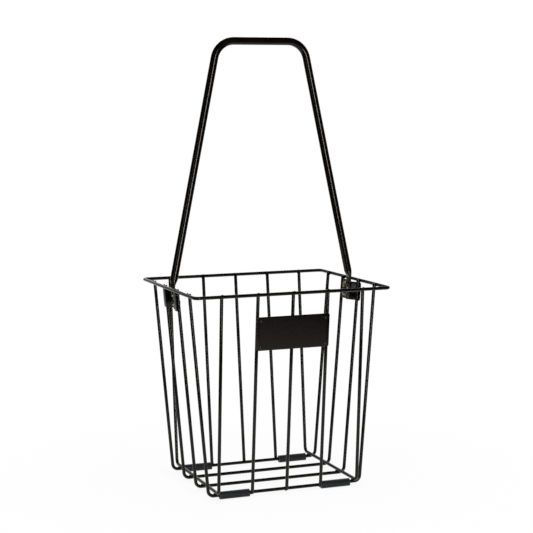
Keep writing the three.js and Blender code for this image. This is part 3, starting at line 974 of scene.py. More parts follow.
@dataclass
class WireBasket:
    """Rim, runners, cross wires and straight wires, with the welds where they cross."""

    layout: Layout
    rim_corner_radius: float = 7.0
    runner_bend_radius: float = 9.5
    cross_bend_radius: float = 9.0
    cross_foot_y: float = 111.5
    tip_above_rim: float = 1.8
    tip_below_runner: float = 1.2
    tip_rounding: float = 0.7
    sides: int = 24
    bend_steps: int = 12
    bead_reach: float = 3.3
    bead_thickness: float = 1.9
    bead_lumps: float = 0.22
    bead_lump_scale: float = 1.4

    @cached_property
    def cross_x(self) -> float:
        """X of the right cross wire."""
        return node_middle("cross_wire_right").x

    @cached_property
    def face_places(self) -> dict[str, float]:
        """X of the three straight wires of a long face, by their names."""
        return {place: node_middle(f"front_wire_{place}").x for place in ("left", "middle", "right")}

    def build(self) -> None:
        """Makes every wire and weld of the basket."""
        self.build_rim()
        for index, place in enumerate(self.layout.runner_places, start=1):
            self.build_runner(index, place)
        for side in Side:
            self.build_cross_wire(side)
        for face in Face:
            for place in self.face_places:
                self.build_face_wire(face, place)
        self.build_welds("rim_welds", self.rim_crossings())
        self.build_welds("floor_welds", self.floor_crossings())

    def build_rim(self) -> None:
        """Bends one wire round the four corners and welds it into a ring."""
        reach = self.layout.rim_reach
        height = self.layout.rim_height
        start = Vector((0, -reach.y, height))
        signs = [(1, -1), (1, 1), (-1, 1), (-1, -1)]
        corners = [Vector((x * reach.x, y * reach.y, height)) for x, y in signs]
        rim = RoundStock("top_rim_coated", start, Vector((1, 0, 0)), self.layout.wire_radius, self.sides)
        rim.follow([*corners, start], [self.rim_corner_radius] * 4, self.bend_steps).close_ring()
        rim.hand_over(POWDER_COAT, ["top_rim"])

    def bent_u(self, name: str, outline: Sequence[Vector], bend_radius: float) -> RoundStock:
        """Bends a wire up one side, across the floor and up the other side.

        Args:
            name: The finished object's name.
            outline: Tip, two corners and tip.
            bend_radius: Radius of the two bends.

        Returns:
            The wire.
        """
        heading = outline[1] - outline[0]
        wire = RoundStock(name, outline[0], heading, self.layout.wire_radius, self.sides)
        wire.follow(outline[1:], [bend_radius] * 2, self.bend_steps)
        return wire.close_ends(self.tip_rounding)

    def build_runner(self, index: int, place: float) -> None:
        """Bends a runner, which a ball squeezes past.

        Args:
            index: Its number, from front to back.
            place: Its Y.
        """
        layout = self.layout
        top = layout.rim_height + self.tip_above_rim
        tip_x = layout.side_rim_x + math.tan(layout.side_lean) * self.tip_above_rim
        foot_x = layout.side_foot_x
        outline = [Vector((-tip_x, place, top)), Vector((-foot_x, place, layout.runner_height)),
                   Vector((foot_x, place, layout.runner_height)), Vector((tip_x, place, top))]
        wire = self.bent_u(f"runner_wire_{index}_coated", outline, self.runner_bend_radius)
        wire.hand_over(POWDER_COAT, [f"runner_wire_{index}"])

    def build_cross_wire(self, side: Side) -> None:
        """Bends a cross wire, which lies on the runners and stands near the corners.

        Args:
            side: The end that it is nearer to.
        """
        layout = self.layout
        name = f"cross_wire_{side.name.lower()}"
        low = node_box(name)[0].z + layout.wire_radius
        lean = (layout.face_rim_y - self.cross_foot_y) / layout.depth
        foot_y = self.cross_foot_y + lean * (low - layout.runner_height)
        tip_y = layout.face_rim_y + lean * self.tip_above_rim
        x = side.value * self.cross_x
        top = layout.rim_height + self.tip_above_rim
        outline = [Vector((x, -tip_y, top)), Vector((x, -foot_y, low)),
                   Vector((x, foot_y, low)), Vector((x, tip_y, top))]
        self.bent_u(f"{name}_coated", outline, self.cross_bend_radius).hand_over(POWDER_COAT, [name])

    def build_face_wire(self, face: Face, place: str) -> None:
        """Cuts a straight wire and stands it in a long face.

        Args:
            face: The long face.
            place: Its name along that face.
        """
        layout = self.layout
        node = f"{face.name.lower()}_wire_{place}"
        across = node_middle(node).x * -face.value
        above = self.tip_above_rim / math.cos(layout.face_lean)
        below = (layout.depth + self.tip_below_runner) / math.cos(layout.face_lean)
        wire = RoundStock(f"{node}_coated", Vector((across, -below, 0)), Vector((0, 1, 0)),
                          layout.wire_radius, self.sides)
        wire.feed(above + below)
        wire.close_ends(self.tip_rounding).move(layout.face_matrix(face))
        wire.hand_over(POWDER_COAT, [node])

    def rim_crossings(self) -> list[tuple[Vector, Vector]]:
        """Lists the welds on the rim.

        Returns:
            The place of each weld, with the way from one wire to the other.
        """
        layout = self.layout
        half_gap = layout.touching / 2
        end_x, face_y = layout.rim_reach.x - half_gap, layout.rim_reach.y - half_gap
        along = [*self.face_places.values(), -self.cross_x, self.cross_x]
        ends = [(Vector((side.value * end_x, y, layout.rim_height)), Vector((1, 0, 0)))
                for side in Side for y in layout.runner_places]
        faces = [(Vector((x, face.value * face_y, layout.rim_height)), Vector((0, 1, 0)))
                 for face in Face for x in along]
        return ends + faces

    def floor_crossings(self) -> list[tuple[Vector, Vector]]:
        """Lists the welds on the runners.

        Returns:
            The place of each weld, with the way from one wire to the other.
        """
        layout = self.layout
        half_gap = layout.touching / 2
        over, outer = layout.runner_height + half_gap, layout.runner_places[-1] + half_gap
        crossed = [(Vector((side.value * self.cross_x, y, over)), Vector((0, 0, 1)))
                   for side in Side for y in layout.runner_places]
        feet = [(Vector((x, face.value * outer, layout.runner_height)), Vector((0, 1, 0)))
                for face in Face for x in self.face_places.values()]
        return crossed + feet

    def build_welds(self, name: str, crossings: Sequence[tuple[Vector, Vector]]) -> None:
        """Squeezes a lumpy bead of metal out of each crossing.

        Args:
            name: The finished object's name.
            crossings: The place of each weld and the way through it.
        """
        welds = Workpiece(name)
        size = (self.bead_reach, self.bead_reach, self.bead_thickness)
        for place, through in crossings:
            aim = through.to_track_quat("Z", "Y").to_matrix().to_4x4()
            aimed = Matrix.Translation(place) @ aim
            welds.bead(aimed, size, self.bead_lumps, self.bead_lump_scale, place)
        welds.hand_over(POWDER_COAT, [])


# Handle


@dataclass
class Handle:
    """One bent tube with a straight grip, splayed legs and ends pressed flat for the screws."""

    layout: Layout
    tube_radius: float = 6.35
    grip_corner_x: float = 75.1
    grip_bend_radius: float = 34.0
    leg_splay: float = math.radians(11.73)
    ankle_bend_radius: float = 40.0
    tongue_thickness: float = 3.2
    tongue_width: float = 16.0
    tongue_inboard: float = 2.8
    tongue_tip: float = 35.6
    flattening_start: float = 2.0
    flattening_length: float = 13.0
    flattening_steps: int = 18
    flat_from: float = 0.5
    tip_angles: tuple[int, ...] = (12, 24, 36, 48, 60, 75, 90)
    tip_rounding: float = 0.25
    hole_radius: float = 2.85
    screws_below_rim: tuple[float, float] = (10.0, 25.0)
    sides: int = 48
    bend_steps: int = 28

    @cached_property
    def grip_height(self) -> float:
        """Height of the grip's centreline."""
        return node_box("handle_tube")[1].z - self.tube_radius

    def tongue_line(self, up_slope: float) -> Vector:
        """Gives the middle of the right tongue, a distance up the slope from the rim."""
        return self.layout.end_matrix(Side.RIGHT) @ Vector((0, up_slope, -self.tongue_inboard))

    def corners(self) -> list[Vector]:
        """Gives the centreline's ends and corners, from the left tip to the right one.

        Returns:
            The points.
        """
        at_rim = self.tongue_line(0)
        splay, lean = math.tan(self.leg_splay), math.tan(self.layout.side_lean)
        over_rim = self.grip_height - at_rim.z
        drop = (at_rim.x + lean * over_rim - self.grip_corner_x) / (splay + lean)
        grip = Vector((self.grip_corner_x, 0, self.grip_height))
        ankle = Vector((self.grip_corner_x + splay * drop, 0, self.grip_height - drop))
        right = [grip, ankle, self.tongue_line(-self.tongue_tip)]
        return [Vector((-point.x, 0, point.z)) for point in reversed(right)] + right

    def section(self, from_end: float) -> tuple[float, float]:
        """Gives the pressed size of the tube, which goes over smoothly from flat to round.

        Args:
            from_end: Distance from the tube's nearer end.

        Returns:
            Half its thickness and half its width.
        """
        tip = self.tongue_width / 2
        share = (from_end - self.tongue_tip - self.flattening_start) / self.flattening_length
        share = min(max(share, 0.0), 1.0)
        roundness = share * share * (3 - 2 * share)
        thick = self.tongue_thickness / 2 * (1 - roundness) + self.tube_radius * roundness
        wide = tip * (1 - roundness) + self.tube_radius * roundness
        if from_end < tip:
            wide = math.sqrt(max(tip ** 2 - (tip - from_end) ** 2, 0.0))
        return thick, max(wide, thick)

    def developed_length(self, points: Sequence[Vector], radii: Sequence[float]) -> float:
        """Gives the length of tube that the handle takes.

        Args:
            points: The centreline's ends and corners.
            radii: The radius of each bend.

        Returns:
            The length along the bent centreline.
        """
        runs = [after - before for before, after in zip(points, points[1:])]
        saved = 0.0
        for run, after, radius in zip(runs, runs[1:], radii):
            turn = run.angle(after)
            saved += radius * (2 * math.tan(turn / 2) - turn)
        return sum(run.length for run in runs) - saved

    def pressed_stops(self, whole: float) -> list[float]:
        """Lists where the tube needs a section for the press to shape.

        Args:
            whole: The tube's length.

        Returns:
            Distances along the tube, from the left tip.
        """
        tip = self.tongue_width / 2
        near = [tip * (1 - math.cos(math.radians(angle))) for angle in self.tip_angles]
        steps = self.flattening_steps
        pressed = self.tongue_tip + self.flattening_start
        near += [pressed + self.flattening_length * i / steps for i in range(steps + 1)]
        return near + [whole - stop for stop in reversed(near)]

    def press(self, tube: RoundStock) -> None:
        """Presses each section of both ends between flat dies.

        Args:
            tube: The bent tube.
        """
        whole = tube.tip.distance
        side = Vector((0, 1, 0))
        for ring in tube.rings:
            thick, wide = self.section(min(ring.distance, whole - ring.distance))
            out = ring.heading.cross(side)
            for vert in ring.verts:
                offset = vert.co - ring.middle
                along, across = offset.dot(out) / self.tube_radius, offset.dot(side) / self.tube_radius
                flat = math.copysign(wide - thick, across) * min(abs(across) / self.flat_from, 1.0)
                vert.co = ring.middle + out * (along * thick) + side * (across * thick + flat)

    def build(self) -> None:
        """Bends, presses and drills the tube."""
        points = self.corners()
        ankle, grip = self.ankle_bend_radius, self.grip_bend_radius
        radii = [ankle, grip, grip, ankle]
        stops = self.pressed_stops(self.developed_length(points, radii))
        heading = points[1] - points[0]
        tube = RoundStock("handle_tube_coated", points[0], heading, self.tube_radius, self.sides)
        tube.follow(points[1:], radii, self.bend_steps, stops)
        self.press(tube)
        tube.close_ends(self.tip_rounding, 2)
        for side in Side:
            for below in self.screws_below_rim:
                place = self.layout.end_matrix(side) @ Matrix.Translation((0, -below, 0))
                tube.drill(place, self.hole_radius)
        tube.hand_over(POWDER_COAT, ["handle_tube"])


# Ends: brackets and fasteners


@dataclass
class EndBracket:
    """A folded hat of sheet steel that holds one end of the handle."""

    layout: Layout
    handle: Handle
    side: Side
    sheet: float = 1.6
    height: float = 31.0
    top_below_rim: float = 3.2
    half_width: float = 36.0
    wall_outer: float = 22.5
    wall_inner: float = 15.5
    fold_radius: float = 2.4
    fold_steps: int = 6
    corner_radius: float = 4.0
    corner_steps: int = 8
    edge_rounding: float = 0.3
    rounded_angle: float = 50.0
    bead_size: tuple[float, float, float] = (1.9, 4.6, 1.2)
    bead_inset: float = 7.0
    bead_lumps: float = 0.16
    bead_lump_scale: float = 2.0

    @property
    def web(self) -> float:
        """How far out of the wires' plane the middle of the web lies."""
        half = self.handle.tongue_thickness / 2 + self.layout.hairline + self.sheet / 2
        return -self.handle.tongue_inboard - half

    @property
    def lip(self) -> float:
        """How far out of the wires' plane the middle of the lips lies."""
        return self.layout.wire_radius + self.layout.hairline + self.sheet / 2

    def build(self) -> None:
        """Makes the bracket and its welds."""
        place = self.layout.end_matrix(self.side)
        self.build_bracket(place)
        self.build_welds(place)

    def fold_line(self) -> list[Vector]:
        """Gives the corners of the sheet's middle, seen from above."""
        half = [(self.wall_inner, self.web), (self.wall_outer, self.lip), (self.half_width, self.lip)]
        return [Vector((-x, 0, z)) for x, z in reversed(half)] + [Vector((x, 0, z)) for x, z in half]

    def fold_sheet(self, bm: bmesh.types.BMesh) -> None:
        """Draws the middle of the sheet along its fold line, from lip to lip.

        Args:
            bm: Where it is drawn.
        """
        corners = self.fold_line()
        drop = Vector((0, -self.height, 0))
        top = corners[0] + Vector((0, -self.top_below_rim, 0))
        ends = [bm.verts.new(top), bm.verts.new(top + drop)]
        edge = bm.edges.new(ends)
        point, heading = corners[0].copy(), (corners[1] - corners[0]).normalized()
        for corner, after in zip(corners[1:], corners[2:]):
            leaving = (after - corner).normalized()
            turn = heading.angle(leaving)
            tangent = self.fold_radius * math.tan(turn / 2)
            edge = self.slide_edge(bm, edge, heading * ((corner - point).length - tangent))
            inward = (leaving - heading * leaving.dot(heading)).normalized()
            centre = corner - heading * tangent + inward * self.fold_radius
            made = bmesh.ops.spin(bm, geom=[*edge.verts, edge], cent=centre, axis=heading.cross(inward),
                                  angle=turn, steps=self.fold_steps, use_merge=False, use_duplicate=False)
            edge = only(BMEdge, made["geom_last"])[0]
            point, heading = corner + leaving * tangent, leaving
        self.slide_edge(bm, edge, heading * (corners[-1] - point).length)

    def build_bracket(self, place: Matrix) -> None:
        """Folds the sheet, rounds its corners and drills it.

        Args:
            place: The end's place, with Z pointing out of the basket.
        """
        name = f"bracket_{self.side.name.lower()}"
        bracket = Workpiece(f"{name}_coated")
        bm = bracket.bm
        self.fold_sheet(bm)
        outer = [vert for vert in bm.verts if len(vert.link_edges) == 2]
        bracket.bevel(outer, self.corner_radius, self.corner_steps, Rounded.CORNERS)
        bmesh.ops.recalc_face_normals(bm, faces=bm.faces)
        bmesh.ops.solidify(bm, geom=bm.faces[:], thickness=self.sheet)
        self.centre_sheet(bm)
        for below in self.handle.screws_below_rim:
            bracket.drill(Matrix.Translation((0, -below, 0)), self.handle.hole_radius)
        bracket.soften(self.edge_rounding, 2, self.rounded_angle).move(place)
        bracket.hand_over(POWDER_COAT, [name])

    @staticmethod
    def slide_edge(bm: bmesh.types.BMesh, edge: BMEdge, by: Vector) -> BMEdge:
        """Draws the sheet out by one flat.

        Args:
            bm: The sheet.
            edge: Its open edge.
            by: How far and which way the edge goes.

        Returns:
            The new open edge.
        """
        made = bmesh.ops.extrude_edge_only(bm, edges=[edge])["geom"]
        verts = only(BMVert, made)
        bmesh.ops.translate(bm, verts=verts, vec=by)
        return edges_within(verts)[0]

    def centre_sheet(self, bm: bmesh.types.BMesh) -> None:
        """Moves the thickened sheet so that its lips stand on their line."""
        middle = max(vert.co.z for vert in bm.verts) - self.sheet / 2
        bmesh.ops.translate(bm, verts=bm.verts, vec=(0, 0, self.lip - middle))

    def build_welds(self, place: Matrix) -> None:
        """Runs short beads along the two wires behind each lip.

        Args:
            place: The end's place, with Z pointing out of the basket.
        """
        welds = Workpiece(f"bracket_welds_{self.side.name.lower()}")
        inner = [y for y in self.layout.runner_places if abs(y) < self.half_width]
        low = self.top_below_rim + self.height
        contact = self.layout.wire_radius + self.layout.hairline / 2
        for across in inner:
            for down in (self.top_below_rim + self.bead_inset, low - self.bead_inset):
                spot = place @ Matrix.Translation((across, -down, contact))
                welds.bead(spot, self.bead_size, self.bead_lumps, self.bead_lump_scale,
                           Vector((across, down, 0)))
        welds.hand_over(POWDER_COAT, [])


@dataclass
class Fasteners:
    """The two screws at one end of the handle, each with a washer and a nut."""

    bracket: EndBracket
    head_turns: tuple[float, float] = (18.0, -7.0)
    screw_radius: float = 2.5
    thread_pitch: float = 0.8
    thread_depth: float = 0.42
    thread_crest: tuple[float, float] = (0.45, 0.58)
    crest_wear: float = 0.02
    thread_below_head: float = 4.5
    shank_below_head: float = 3.9
    tip_chamfer: float = 0.3
    tip_proud: float = 0.8
    head_radius: float = 4.5
    head_edge: float = 0.6
    head_dome: float = 1.6
    head_rounding: float = 0.15
    dome_steps: int = 9
    recess_reach: float = 2.3
    recess_width: float = 0.95
    recess_depth: float = 1.5
    recess_rounding: float = 0.25
    nut_flat_to_flat: float = 8.0
    nut_height: float = 4.0
    nut_clearance: float = 0.08
    nut_chamfer: float = 0.5
    nut_face_inset: float = 0.1
    nut_corner_drop: float = 0.6
    nut_lathe_reach: float = 1.2
    bar_margin: float = 0.001
    washer_radius: float = 5.0
    washer_thickness: float = 1.0
    washer_rounding: float = 0.18
    sides: int = 48
    nut_sides: int = 72

    @property
    def under_head(self) -> float:
        """How far out of the wires' plane the screws' heads bear on the tongue."""
        handle = self.bracket.handle
        return -handle.tongue_inboard + handle.tongue_thickness / 2 + self.bracket.layout.hairline

    def build(self) -> None:
        """Makes both sets and puts them through the tongue and the web."""
        place = self.bracket.layout.end_matrix(self.bracket.side)
        levels = zip(("upper", "lower"), self.bracket.handle.screws_below_rim, self.head_turns)
        for level, below, turn in levels:
            self.build_set(level, place @ Matrix.Translation((0, -below, 0)), math.radians(turn))

    def build_set(self, level: str, place: Matrix, turn: float) -> None:
        """Stacks a screw, a washer and a nut through one hole.

        Args:
            level: Which of the two screws it is.
            place: The hole's place, with Z pointing out of the basket.
            turn: How far the screw and the nut are turned round.
        """
        bracket = self.bracket
        hairline = bracket.layout.hairline
        name = f"{bracket.side.name.lower()}_{level}"
        washer_face = bracket.web - bracket.sheet / 2 - hairline
        nut_face = washer_face - self.washer_thickness - hairline
        turned = place @ Matrix.Rotation(turn, 4, "Z")
        screw = self.screw(f"screw_{name}_plated", nut_face - self.nut_height - self.tip_proud)
        screw.move(turned).hand_over(YELLOW_ZINC, [f"screw_{name}"])
        washer = self.washer(f"washer_{name}_plated", washer_face - self.washer_thickness)
        washer.move(place).hand_over(YELLOW_ZINC, [f"washer_{name}"])
        nut = self.nut(f"nut_{name}_plated", nut_face - self.nut_height)
        nut.move(turned).hand_over(YELLOW_ZINC, [f"nut_{name}"])

    def screw(self, name: str, tip: float) -> Workpiece:
        """Turns a machine screw with a low domed head, a cross recess and a rolled thread.

        Args:
            name: The finished object's name.
            tip: Where its thread ends.

        Returns:
            The screw, along Z.
        """
        seat = self.under_head
        edge, rounding = seat + self.head_edge, self.head_rounding
        root = self.screw_radius - self.thread_depth
        thread = self.thread_profile(tip + self.tip_chamfer, seat - self.thread_below_head)
        outline = [(0, tip), (root - self.tip_chamfer, tip), *thread,
                   (self.screw_radius, seat - self.shank_below_head), (self.screw_radius, seat),
                   (self.head_radius - rounding, seat), (self.head_radius, seat + rounding),
                   *dome(self.head_radius, edge, self.head_dome, self.dome_steps)]
        screw = Workpiece(name).lathe(outline, self.sides)
        top, size = edge + self.head_dome, (2 * self.recess_reach, self.recess_width, 2 * self.recess_depth)
        for turn in (0.0, math.pi / 2):
            blade = Workpiece("driver").block((0, 0, top), size)
            screw.cut(Cut.AWAY, blade.soften(self.recess_rounding).move(Matrix.Rotation(turn, 4, "Z")))
        return screw

    def thread_profile(self, low: float, high: float) -> list[tuple[float, float]]:
        """Gives the outline of the thread between two heights.

        Args:
            low: Where it starts.
            high: Where its last whole turn ends at the latest.

        Returns:
            Radius and height of each corner, upwards.
        """
        root, crest = self.screw_radius - self.thread_depth, self.screw_radius - self.crest_wear
        outline = []
        turns = int((high - low) / self.thread_pitch)
        for turn in range(turns):
            at = low + turn * self.thread_pitch
            tops = [(crest, at + share * self.thread_pitch) for share in self.thread_crest]
            outline += [(root, at), *tops]
        return [*outline, (root, low + turns * self.thread_pitch)]

    def washer(self, name: str, low: float) -> Workpiece:
        """Stamps a washer.

        Args:
            name: The finished object's name.
            low: Where it starts.

        Returns:
            The washer, along Z.
        """
        hole, high = self.bracket.handle.hole_radius, low + self.washer_thickness
        rim, rounding = self.washer_radius, self.washer_rounding
        outline = [(hole, low), (rim - rounding, low), (rim, low + rounding), (rim, high - rounding),
                   (rim - rounding, high), (hole + rounding, high), (hole, high - rounding), (hole, low)]
        return Workpiece(name).lathe(outline, self.sides)

    def nut(self, name: str, low: float) -> Workpiece:
        """Cuts a nut from hexagonal bar and turns down the corners of both faces.

        Args:
            name: The finished object's name.
            low: Where it starts.

        Returns:
            The nut, along Z.
        """
        high = low + self.nut_height
        flat = self.nut_flat_to_flat / 2
        corner, outside = flat / math.cos(math.pi / 6), flat * self.nut_lathe_reach
        hole, chamfer = self.screw_radius + self.nut_clearance, self.nut_chamfer
        face, drop = flat - self.nut_face_inset, self.nut_corner_drop
        turned = [(hole, low + chamfer), (hole + chamfer, low), (face, low), (outside, low + drop),
                  (outside, high - drop), (face, high), (hole + chamfer, high), (hole, high - chamfer),
                  (hole, low + chamfer)]
        bar = Workpiece(name).prism(6, corner, low - self.bar_margin, high + self.bar_margin)
        return bar.cut(Cut.TO_SHAPE, Workpiece("lathe").lathe(turned, self.nut_sides))


# Feet


@dataclass
class Foot:
    """A moulded sleeve pushed over an outer runner, with a flat pad to stand on."""

    layout: Layout
    face: Face
    side: Side
    radius: float = 5.8
    squareness: float = 2.9
    slit: float = 0.8
    slit_angle: float = math.radians(-14.0)
    slit_overrun: float = 2.0
    bore_clearance: float = 0.12
    pad_flatness: float = 1.04
    end_rounding: float = 0.9
    rounding_steps: int = 3
    rounded_angle: float = 60.0
    sides: int = 64

    @property
    def node(self) -> str:
        """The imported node's name."""
        return f"foot_{self.face.name.lower()}_{self.side.name.lower()}"

    def build(self) -> None:
        """Moulds the sleeve round the wire."""
        low, high = node_box(self.node)
        runner = self.layout.runner_places[0 if self.face is Face.FRONT else -1]
        middle = Vector(((low.x + high.x) / 2, runner, self.layout.runner_height))
        length = high.x - low.x
        foot = Workpiece(f"{self.node}_moulded")
        outer = placed_circle(Matrix.Identity(4), self.radius, self.sides, foot.bm)
        for vert in outer:
            vert.co = self.squared(vert.co)
        bore = self.layout.wire_radius + self.bore_clearance
        inner = placed_circle(Matrix.Identity(4), bore, self.sides, foot.bm)
        rings = edges_within(outer) + edges_within(inner)
        section = bmesh.ops.bridge_loops(foot.bm, edges=rings)["faces"]
        foot.raise_faces(section, Vector((0, 0, length)))
        foot.cut(Cut.AWAY, self.slit_blade(length))
        foot.soften(self.end_rounding, self.rounding_steps, self.rounded_angle)
        across = Vector((0, self.face.value, 0))
        up = Vector((0, 0, 1))
        axis = across.cross(up)
        foot.move(leaning_matrix(across, up, middle - axis * length / 2))
        foot.hand_over(FOOT_PLASTIC, [self.node])

    def squared(self, corner: Vector) -> Vector:
        """Squares the sleeve's lower half off to the height of its pad.

        Args:
            corner: A corner of the sleeve's round section.

        Returns:
            Where it goes.
        """
        if corner.y >= 0:
            return corner
        drop = self.layout.runner_height
        power = 2 / self.squareness
        across, down = abs(corner.x) / self.radius, -corner.y / self.radius
        widened = math.copysign(self.radius * across ** power, corner.x)
        return Vector((widened, max(-drop * self.pad_flatness * down ** power, -drop), 0))

    def slit_blade(self, length: float) -> Workpiece:
        """Makes the blade that opens the sleeve along its outer side.

        Args:
            length: The sleeve's length.

        Returns:
            The blade.
        """
        reach = 2 * self.radius
        size = (reach, self.slit, length + 2 * self.slit_overrun)
        blade = Workpiece("blade").block((reach / 2, 0, length / 2), size)
        return blade.move(Matrix.Rotation(self.slit_angle, 4, "Z"))


# Name plate


@dataclass
class NamePlate:
    """A bare plate across the straight wires of the front, held by four rivets."""

    layout: Layout
    width: float = 124.4
    height: float = 54.8
    centre_below_rim: float = 63.4
    thickness: float = 2.0
    corner_radius: float = 2.5
    corner_steps: int = 8
    edge_bevel: float = 0.4
    bevel_steps: int = 3
    bevelled_angle: float = 60.0
    field: tuple[float, float] = (94.4, 49.0)
    field_depth: float = 0.3
    rivet_x: float = 55.3
    rivet_y: float = 21.2
    hole_clearance: float = 0.15
    hole_sides: int = 24
    drill_reach: float = 10.0
    shank_radius: float = 1.4
    head_gap: float = 0.05
    head_radius: float = 2.6
    head_edge: float = 0.2
    head_height: float = 1.1
    dome_steps: int = 8
    flange_radius: float = 4.2
    flange_thickness: float = 1.0
    flange_rounding: float = 0.3
    flange_chamfer: float = 0.2
    rivet_sides: int = 40

    @property
    def back(self) -> float:
        """How far out of the wires' plane the plate's back lies."""
        return self.layout.wire_radius + self.layout.hairline

    def build(self) -> None:
        """Makes the plate and its rivets."""
        place = self.layout.face_matrix(Face.FRONT) @ Matrix.Translation((0, -self.centre_below_rim, 0))
        self.build_plate(place)
        signs = [(-1, 1), (1, 1), (-1, -1), (1, -1)]
        for index, (across, up) in enumerate(signs, start=1):
            spot = Matrix.Translation((across * self.rivet_x, up * self.rivet_y, 0))
            self.rivet(f"plate_rivet_{index}", place @ spot)

    def build_plate(self, place: Matrix) -> None:
        """Moulds the plate and opens its four holes.

        Args:
            place: Its place, with Z pointing out of the basket.
        """
        plate = Workpiece("name_plate_moulded")
        plate.block((0, 0, self.back + self.thickness / 2), (self.width, self.height, self.thickness))
        upright = [edge for edge in plate.bm.edges
                   if abs(edge.verts[0].co.z - edge.verts[1].co.z) > LEVEL_WITHIN]
        plate.bevel(upright, self.corner_radius, self.corner_steps)
        plate.soften(self.edge_bevel, self.bevel_steps, self.bevelled_angle)
        front = (0, 0, self.back + self.thickness)
        plate.cut(Cut.AWAY, Workpiece("field").block(front, (*self.field, 2 * self.field_depth)))
        hole = self.shank_radius + self.hole_clearance
        for across in (-self.rivet_x, self.rivet_x):
            for up in (-self.rivet_y, self.rivet_y):
                spot = Matrix.Translation((across, up, 0))
                plate.drill(spot, hole, self.hole_sides, 0.0, self.drill_reach)
        plate.move(place).hand_over(PLATE_PLASTIC, ["name_plate"])

    def rivet(self, node: str, place: Matrix) -> None:
        """Turns a rivet with a domed head, a shank and a flange that catches the wire.

        Args:
            node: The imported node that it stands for.
            place: Its place, with Z pointing out of the basket.
        """
        seat = self.back + self.thickness + self.head_gap
        inner = -self.layout.wire_radius - self.layout.hairline
        outer, rim = inner - self.flange_thickness, self.flange_radius
        outline = [(0, outer), (rim - self.flange_rounding, outer), (rim, outer + self.flange_rounding),
                   (rim, inner - self.flange_chamfer), (rim - self.flange_chamfer, inner),
                   (self.shank_radius, inner), (self.shank_radius, seat), (self.head_radius, seat),
                   *dome(self.head_radius, seat + self.head_edge, self.head_height, self.dome_steps)]
        rivet = Workpiece(f"{node}_moulded").lathe(outline, self.rivet_sides)
        rivet.move(place).hand_over(RIVET_BLACK, [node])


# Studio


def around(azimuth: float, elevation: float) -> Vector:
    """Gives the direction to a place round the object, in degrees: 0 is in front, 90 to the right."""
    a, e = math.radians(azimuth), math.radians(elevation)
    return Vector((math.sin(a) * math.cos(e), -math.cos(a) * math.cos(e), math.sin(e)))


def bare_material(name: str) -> bpy.types.Material:
    """Makes a material with nothing before its output.

    Args:
        name: Its name.

    Returns:
        The material.
    """
    material = bpy.data.materials.new(name)
    material.use_nodes = True
    nodes = material.node_tree.nodes
    nodes.remove(nodes["Principled BSDF"])
    return material


@dataclass(frozen=True)
class Softbox:
    """A soft lamp: its place round the object in degrees and metres, its size and its brightness."""

    name: str
    azimuth: float
    elevation: float
    distance: float
    width: float
    height: float
    radiance: float
    reflected: bool = True

    def add(self, target: Vector) -> None:
        """Hangs the lamp and turns it to the object.

        Args:
            target: The point in metres that it lights.
        """
        lamp = bpy.data.lights.new(self.name, "AREA")
        lamp.shape = "RECTANGLE"
        lamp.size, lamp.size_y = self.width, self.height
        lamp.energy = self.radiance * math.pi * self.width * self.height
        item = bpy.data.objects.new(self.name, lamp)
        direction = around(self.azimuth, self.elevation)
        item.location = target + direction * self.distance
        item.rotation_euler = direction.to_track_quat("Z", "Y").to_euler()
        item.visible_glossy = self.reflected
        bpy.context.scene.collection.objects.link(item)


@dataclass(frozen=True)
class Curtain:
    """A dark curtain round the camera's side and overhead, which only reflections show.

    It leaves a window to the white backdrop behind the object, with grey gauze at both sides.
    """

    radius: float = 3.3
    window_azimuth: float = 159.3
    window_half_width: float = 32.0
    window_height: float = 26.0
    gauze_width: float = 22.0
    panels_round: int = 90
    panels_up: int = 45
    dark: float = 0.012
    grey: float = 0.32

    def cloth_at(self, place: Vector) -> float | None:
        """Tells what hangs in the direction of a place.

        Args:
            place: The middle of a panel.

        Returns:
            How light the cloth is, or nothing in the window.
        """
        window = around(self.window_azimuth, 0.0)
        across = math.degrees(Vector((place.x, place.y, 0)).angle(window, 0.0))
        above = math.degrees(math.asin(place.normalized().z))
        if above > self.window_height or across > self.window_half_width + self.gauze_width:
            return self.dark
        return self.grey if across > self.window_half_width else None

    def hang(self) -> None:
        """Sews both cloths from the panels of a globe and hangs them."""
        for name, shade in (("dark_curtain", self.dark), ("grey_gauze", self.grey)):
            bm = bmesh.new()
            bmesh.ops.create_uvsphere(bm, u_segments=self.panels_round, v_segments=self.panels_up,
                                      radius=self.radius)
            spare = [face for face in bm.faces if self.cloth_at(face.calc_center_median()) != shade]
            bmesh.ops.delete(bm, geom=spare, context="FACES")
            curtain = as_object(name, bm)
            bm.free()
            curtain.data.materials.append(self.cloth(name, shade))
            curtain.visible_camera = curtain.visible_diffuse = curtain.visible_shadow = False

    def cloth(self, name: str, shade: float) -> bpy.types.Material:
        """Makes a cloth of one even grey.

        Args:
            name: The material's name.
            shade: How light it is, where 1 is white.

        Returns:
            The material.
        """
        material = bare_material(name)
        tree = material.node_tree
        even = tree.nodes.new("ShaderNodeEmission")
        even.inputs["Strength"].default_value = shade
        tree.links.new(even.outputs["Emission"], tree.nodes["Material Output"].inputs["Surface"])
        return material


